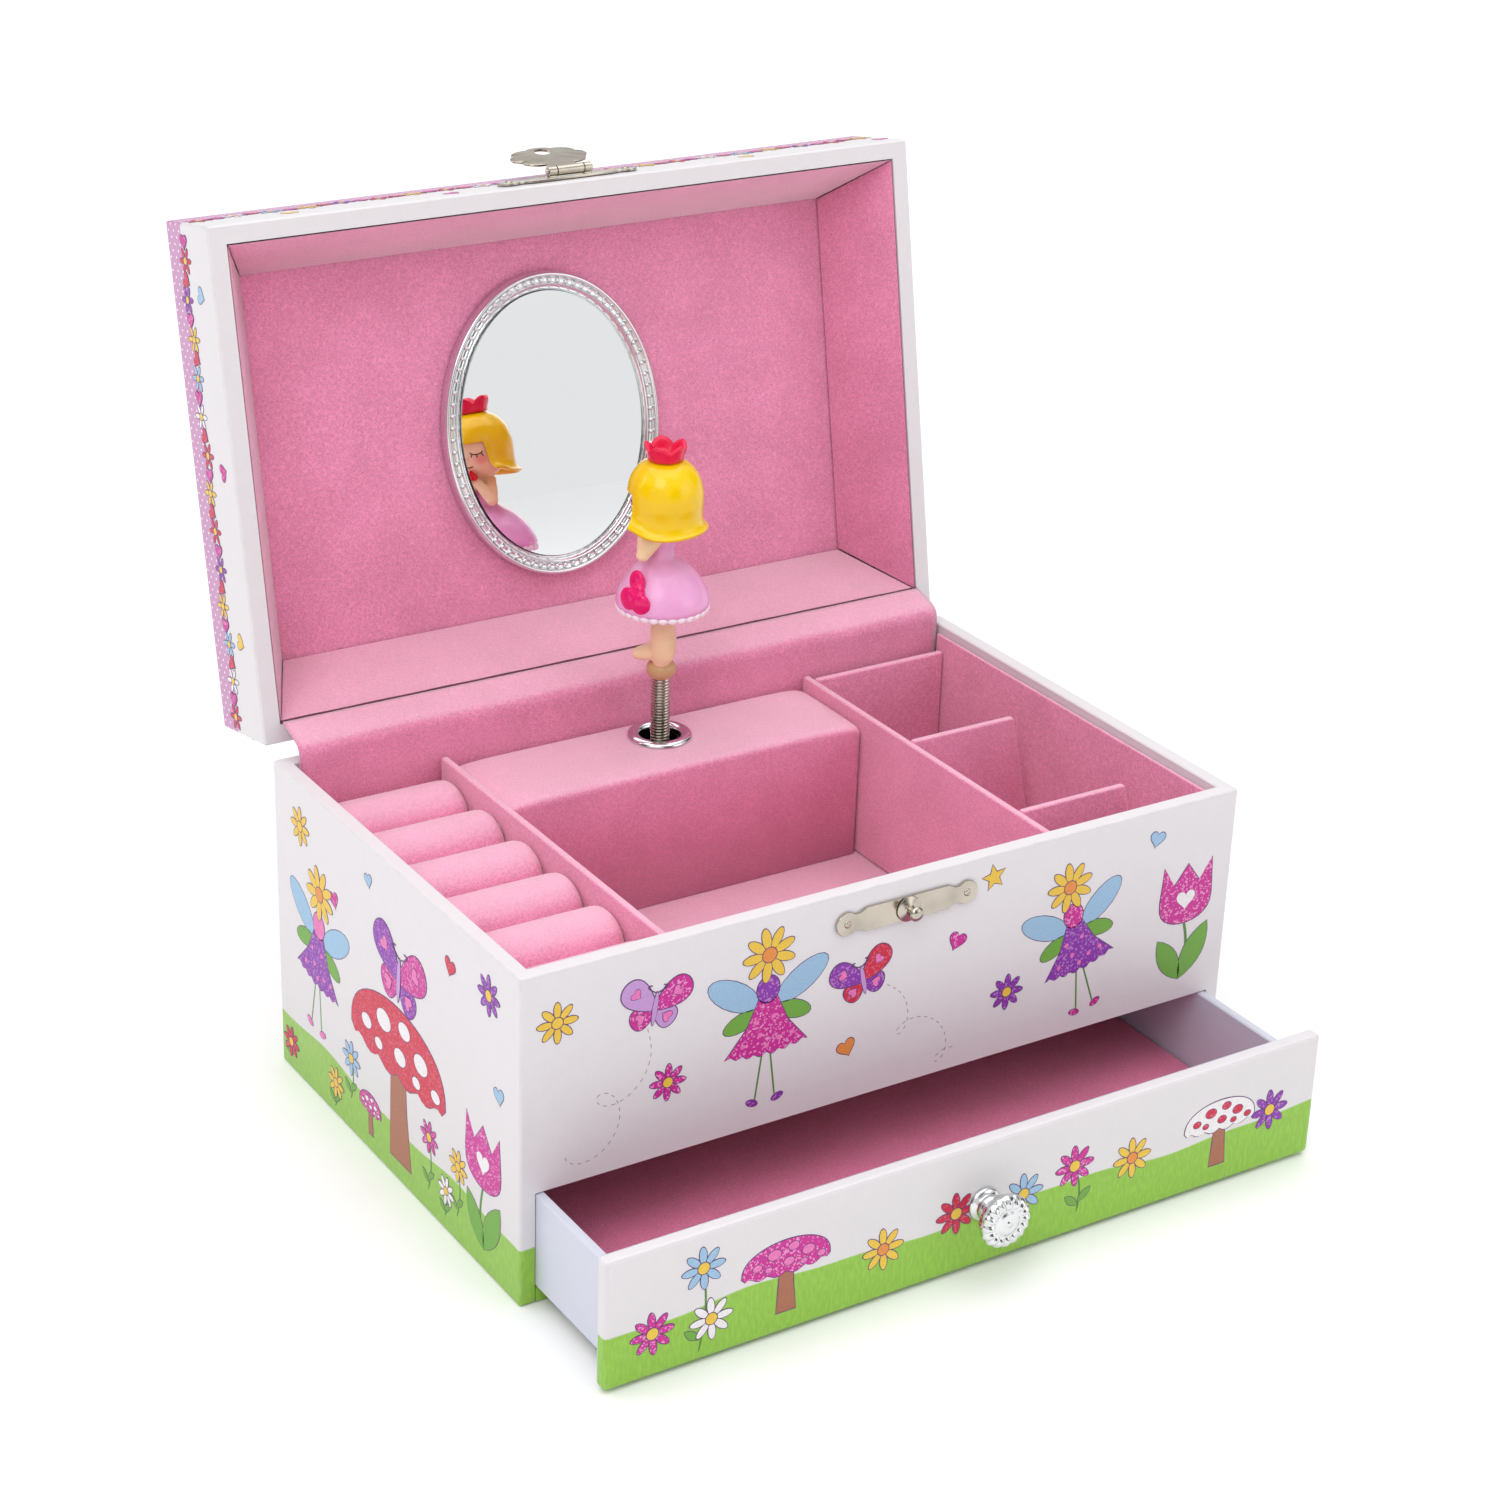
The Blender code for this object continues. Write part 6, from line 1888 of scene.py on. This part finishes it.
    def lid(self):
        """A border of small flowers and hearts along the wavy line, and a few hearts below it."""
        spans = (("front", (1, 0, 0), (0, -1, 0), -LID_LOW[1], LID_HIGH[0]),
                 ("right", (0, 1, 0), (1, 0, 0), LID_HIGH[0], LID_HIGH[1]),
                 ("back", (-1, 0, 0), (0, 1, 0), LID_HIGH[1], LID_HIGH[0]),
                 ("left", (0, -1, 0), (-1, 0, 0), LID_HIGH[0], LID_HIGH[1]))
        inks = ("red", "white", "sky", "yellow", "purple", "red", "yellow")
        border = BORDER_Z / MM
        for side, across, out, face, half in spans:
            art = Artwork()
            count = int(2 * half / (6.3 * MM))
            for number in range(count):
                x = ((number + 0.5) / count - 0.5) * (2 * half / MM - 5)
                row = border - math.sin(x * 0.19)
                if number % 2:
                    tone = ("magenta", "red")[number // 2 % 2]
                    art.heart((x, row), 5.0, tone, -90 + 60 * (number % 4 > 1), 9)
                else:
                    art.flower((x, row), 4.3, inks[number // 2 % len(inks)], "yellow", 6)
                if number % 9 == 4:
                    tone = ("yellow", "magenta", "sky")[number // 9 % 3]
                    art.heart((x + 2, border - 10 - 2 * (number % 2)), 5.5, tone, -20 + 40 * (number % 2))
            art.piece(f"lid_{side}_print",
                      lambda points, fit=panel_frame(across, out, face): lid_open(fit(points)), "lid")
        self.lid_top()

    def lid_top(self):
        """A wreath of flowers and two butterflies on the lid's top."""
        art = Artwork()
        count = 28
        for number in range(count):
            angle = 2 * math.pi * number / count
            ink = ("magenta", "yellow", "red", "sky", "purple")[number % 5]
            art.flower((74 * math.cos(angle), 46 * math.sin(angle)), 7 + number % 3, ink)
            beside = angle + 0.11
            art.leaf((82 * math.cos(beside), 53 * math.sin(beside)), 6, math.degrees(angle) + 40)
        art.butterfly((-24, -4), 26, "magenta", "purple", -8)
        art.butterfly((30, -2), 22, "red", "pink", 14)
        for x, y in ((0, 18), (-8, -22), (12, -24), (48, 14), (-46, 12)):
            art.heart((x, y), 6, "red", x)

        def on_top(points):
            return lid_open(points + [0, 0, LID_HIGH[2]])
        art.piece("lid_top_print", on_top, "lid")


# ---- panel and registration ----
class VIEW3D_PT_jewellery(bpy.types.Panel):
    """Settings and steps of the jewellery box"""
    bl_idname = "VIEW3D_PT_jewellery"
    bl_label = "Jewellery Box"
    bl_space_type = "VIEW_3D"
    bl_region_type = "UI"
    bl_category = "Jewellery Box"

    def draw(self, context):
        for group in (context.scene.jewellery_colours, context.scene.jewellery_sizes):
            box = self.layout.box()
            for setting in group.bl_rna.properties.keys():
                if setting not in ("rna_type", "name"):
                    box.prop(group, setting)
        for step in STEPS:
            self.layout.operator(step.bl_idname)


STEPS = (JEWELLERY_OT_stage, JEWELLERY_OT_case, JEWELLERY_OT_tray, JEWELLERY_OT_flap, JEWELLERY_OT_lid,
         JEWELLERY_OT_hardware, JEWELLERY_OT_drawer, JEWELLERY_OT_figure, JEWELLERY_OT_prints)
CLASSES = (JewelleryColours, JewellerySizes, *STEPS, VIEW3D_PT_jewellery)


def register():
    for entry in CLASSES:
        bpy.utils.register_class(entry)
    bpy.types.Scene.jewellery_colours = PointerProperty(type=JewelleryColours)
    bpy.types.Scene.jewellery_sizes = PointerProperty(type=JewellerySizes)


def unregister():
    del bpy.types.Scene.jewellery_sizes
    del bpy.types.Scene.jewellery_colours
    for entry in reversed(CLASSES):
        bpy.utils.unregister_class(entry)


def main():
    register()
    for step in STEPS:
        getattr(bpy.ops.jewellery, step.bl_idname.split(".")[1])()
    bpy.context.view_layer.update()


if __name__ == "__main__":
    main()
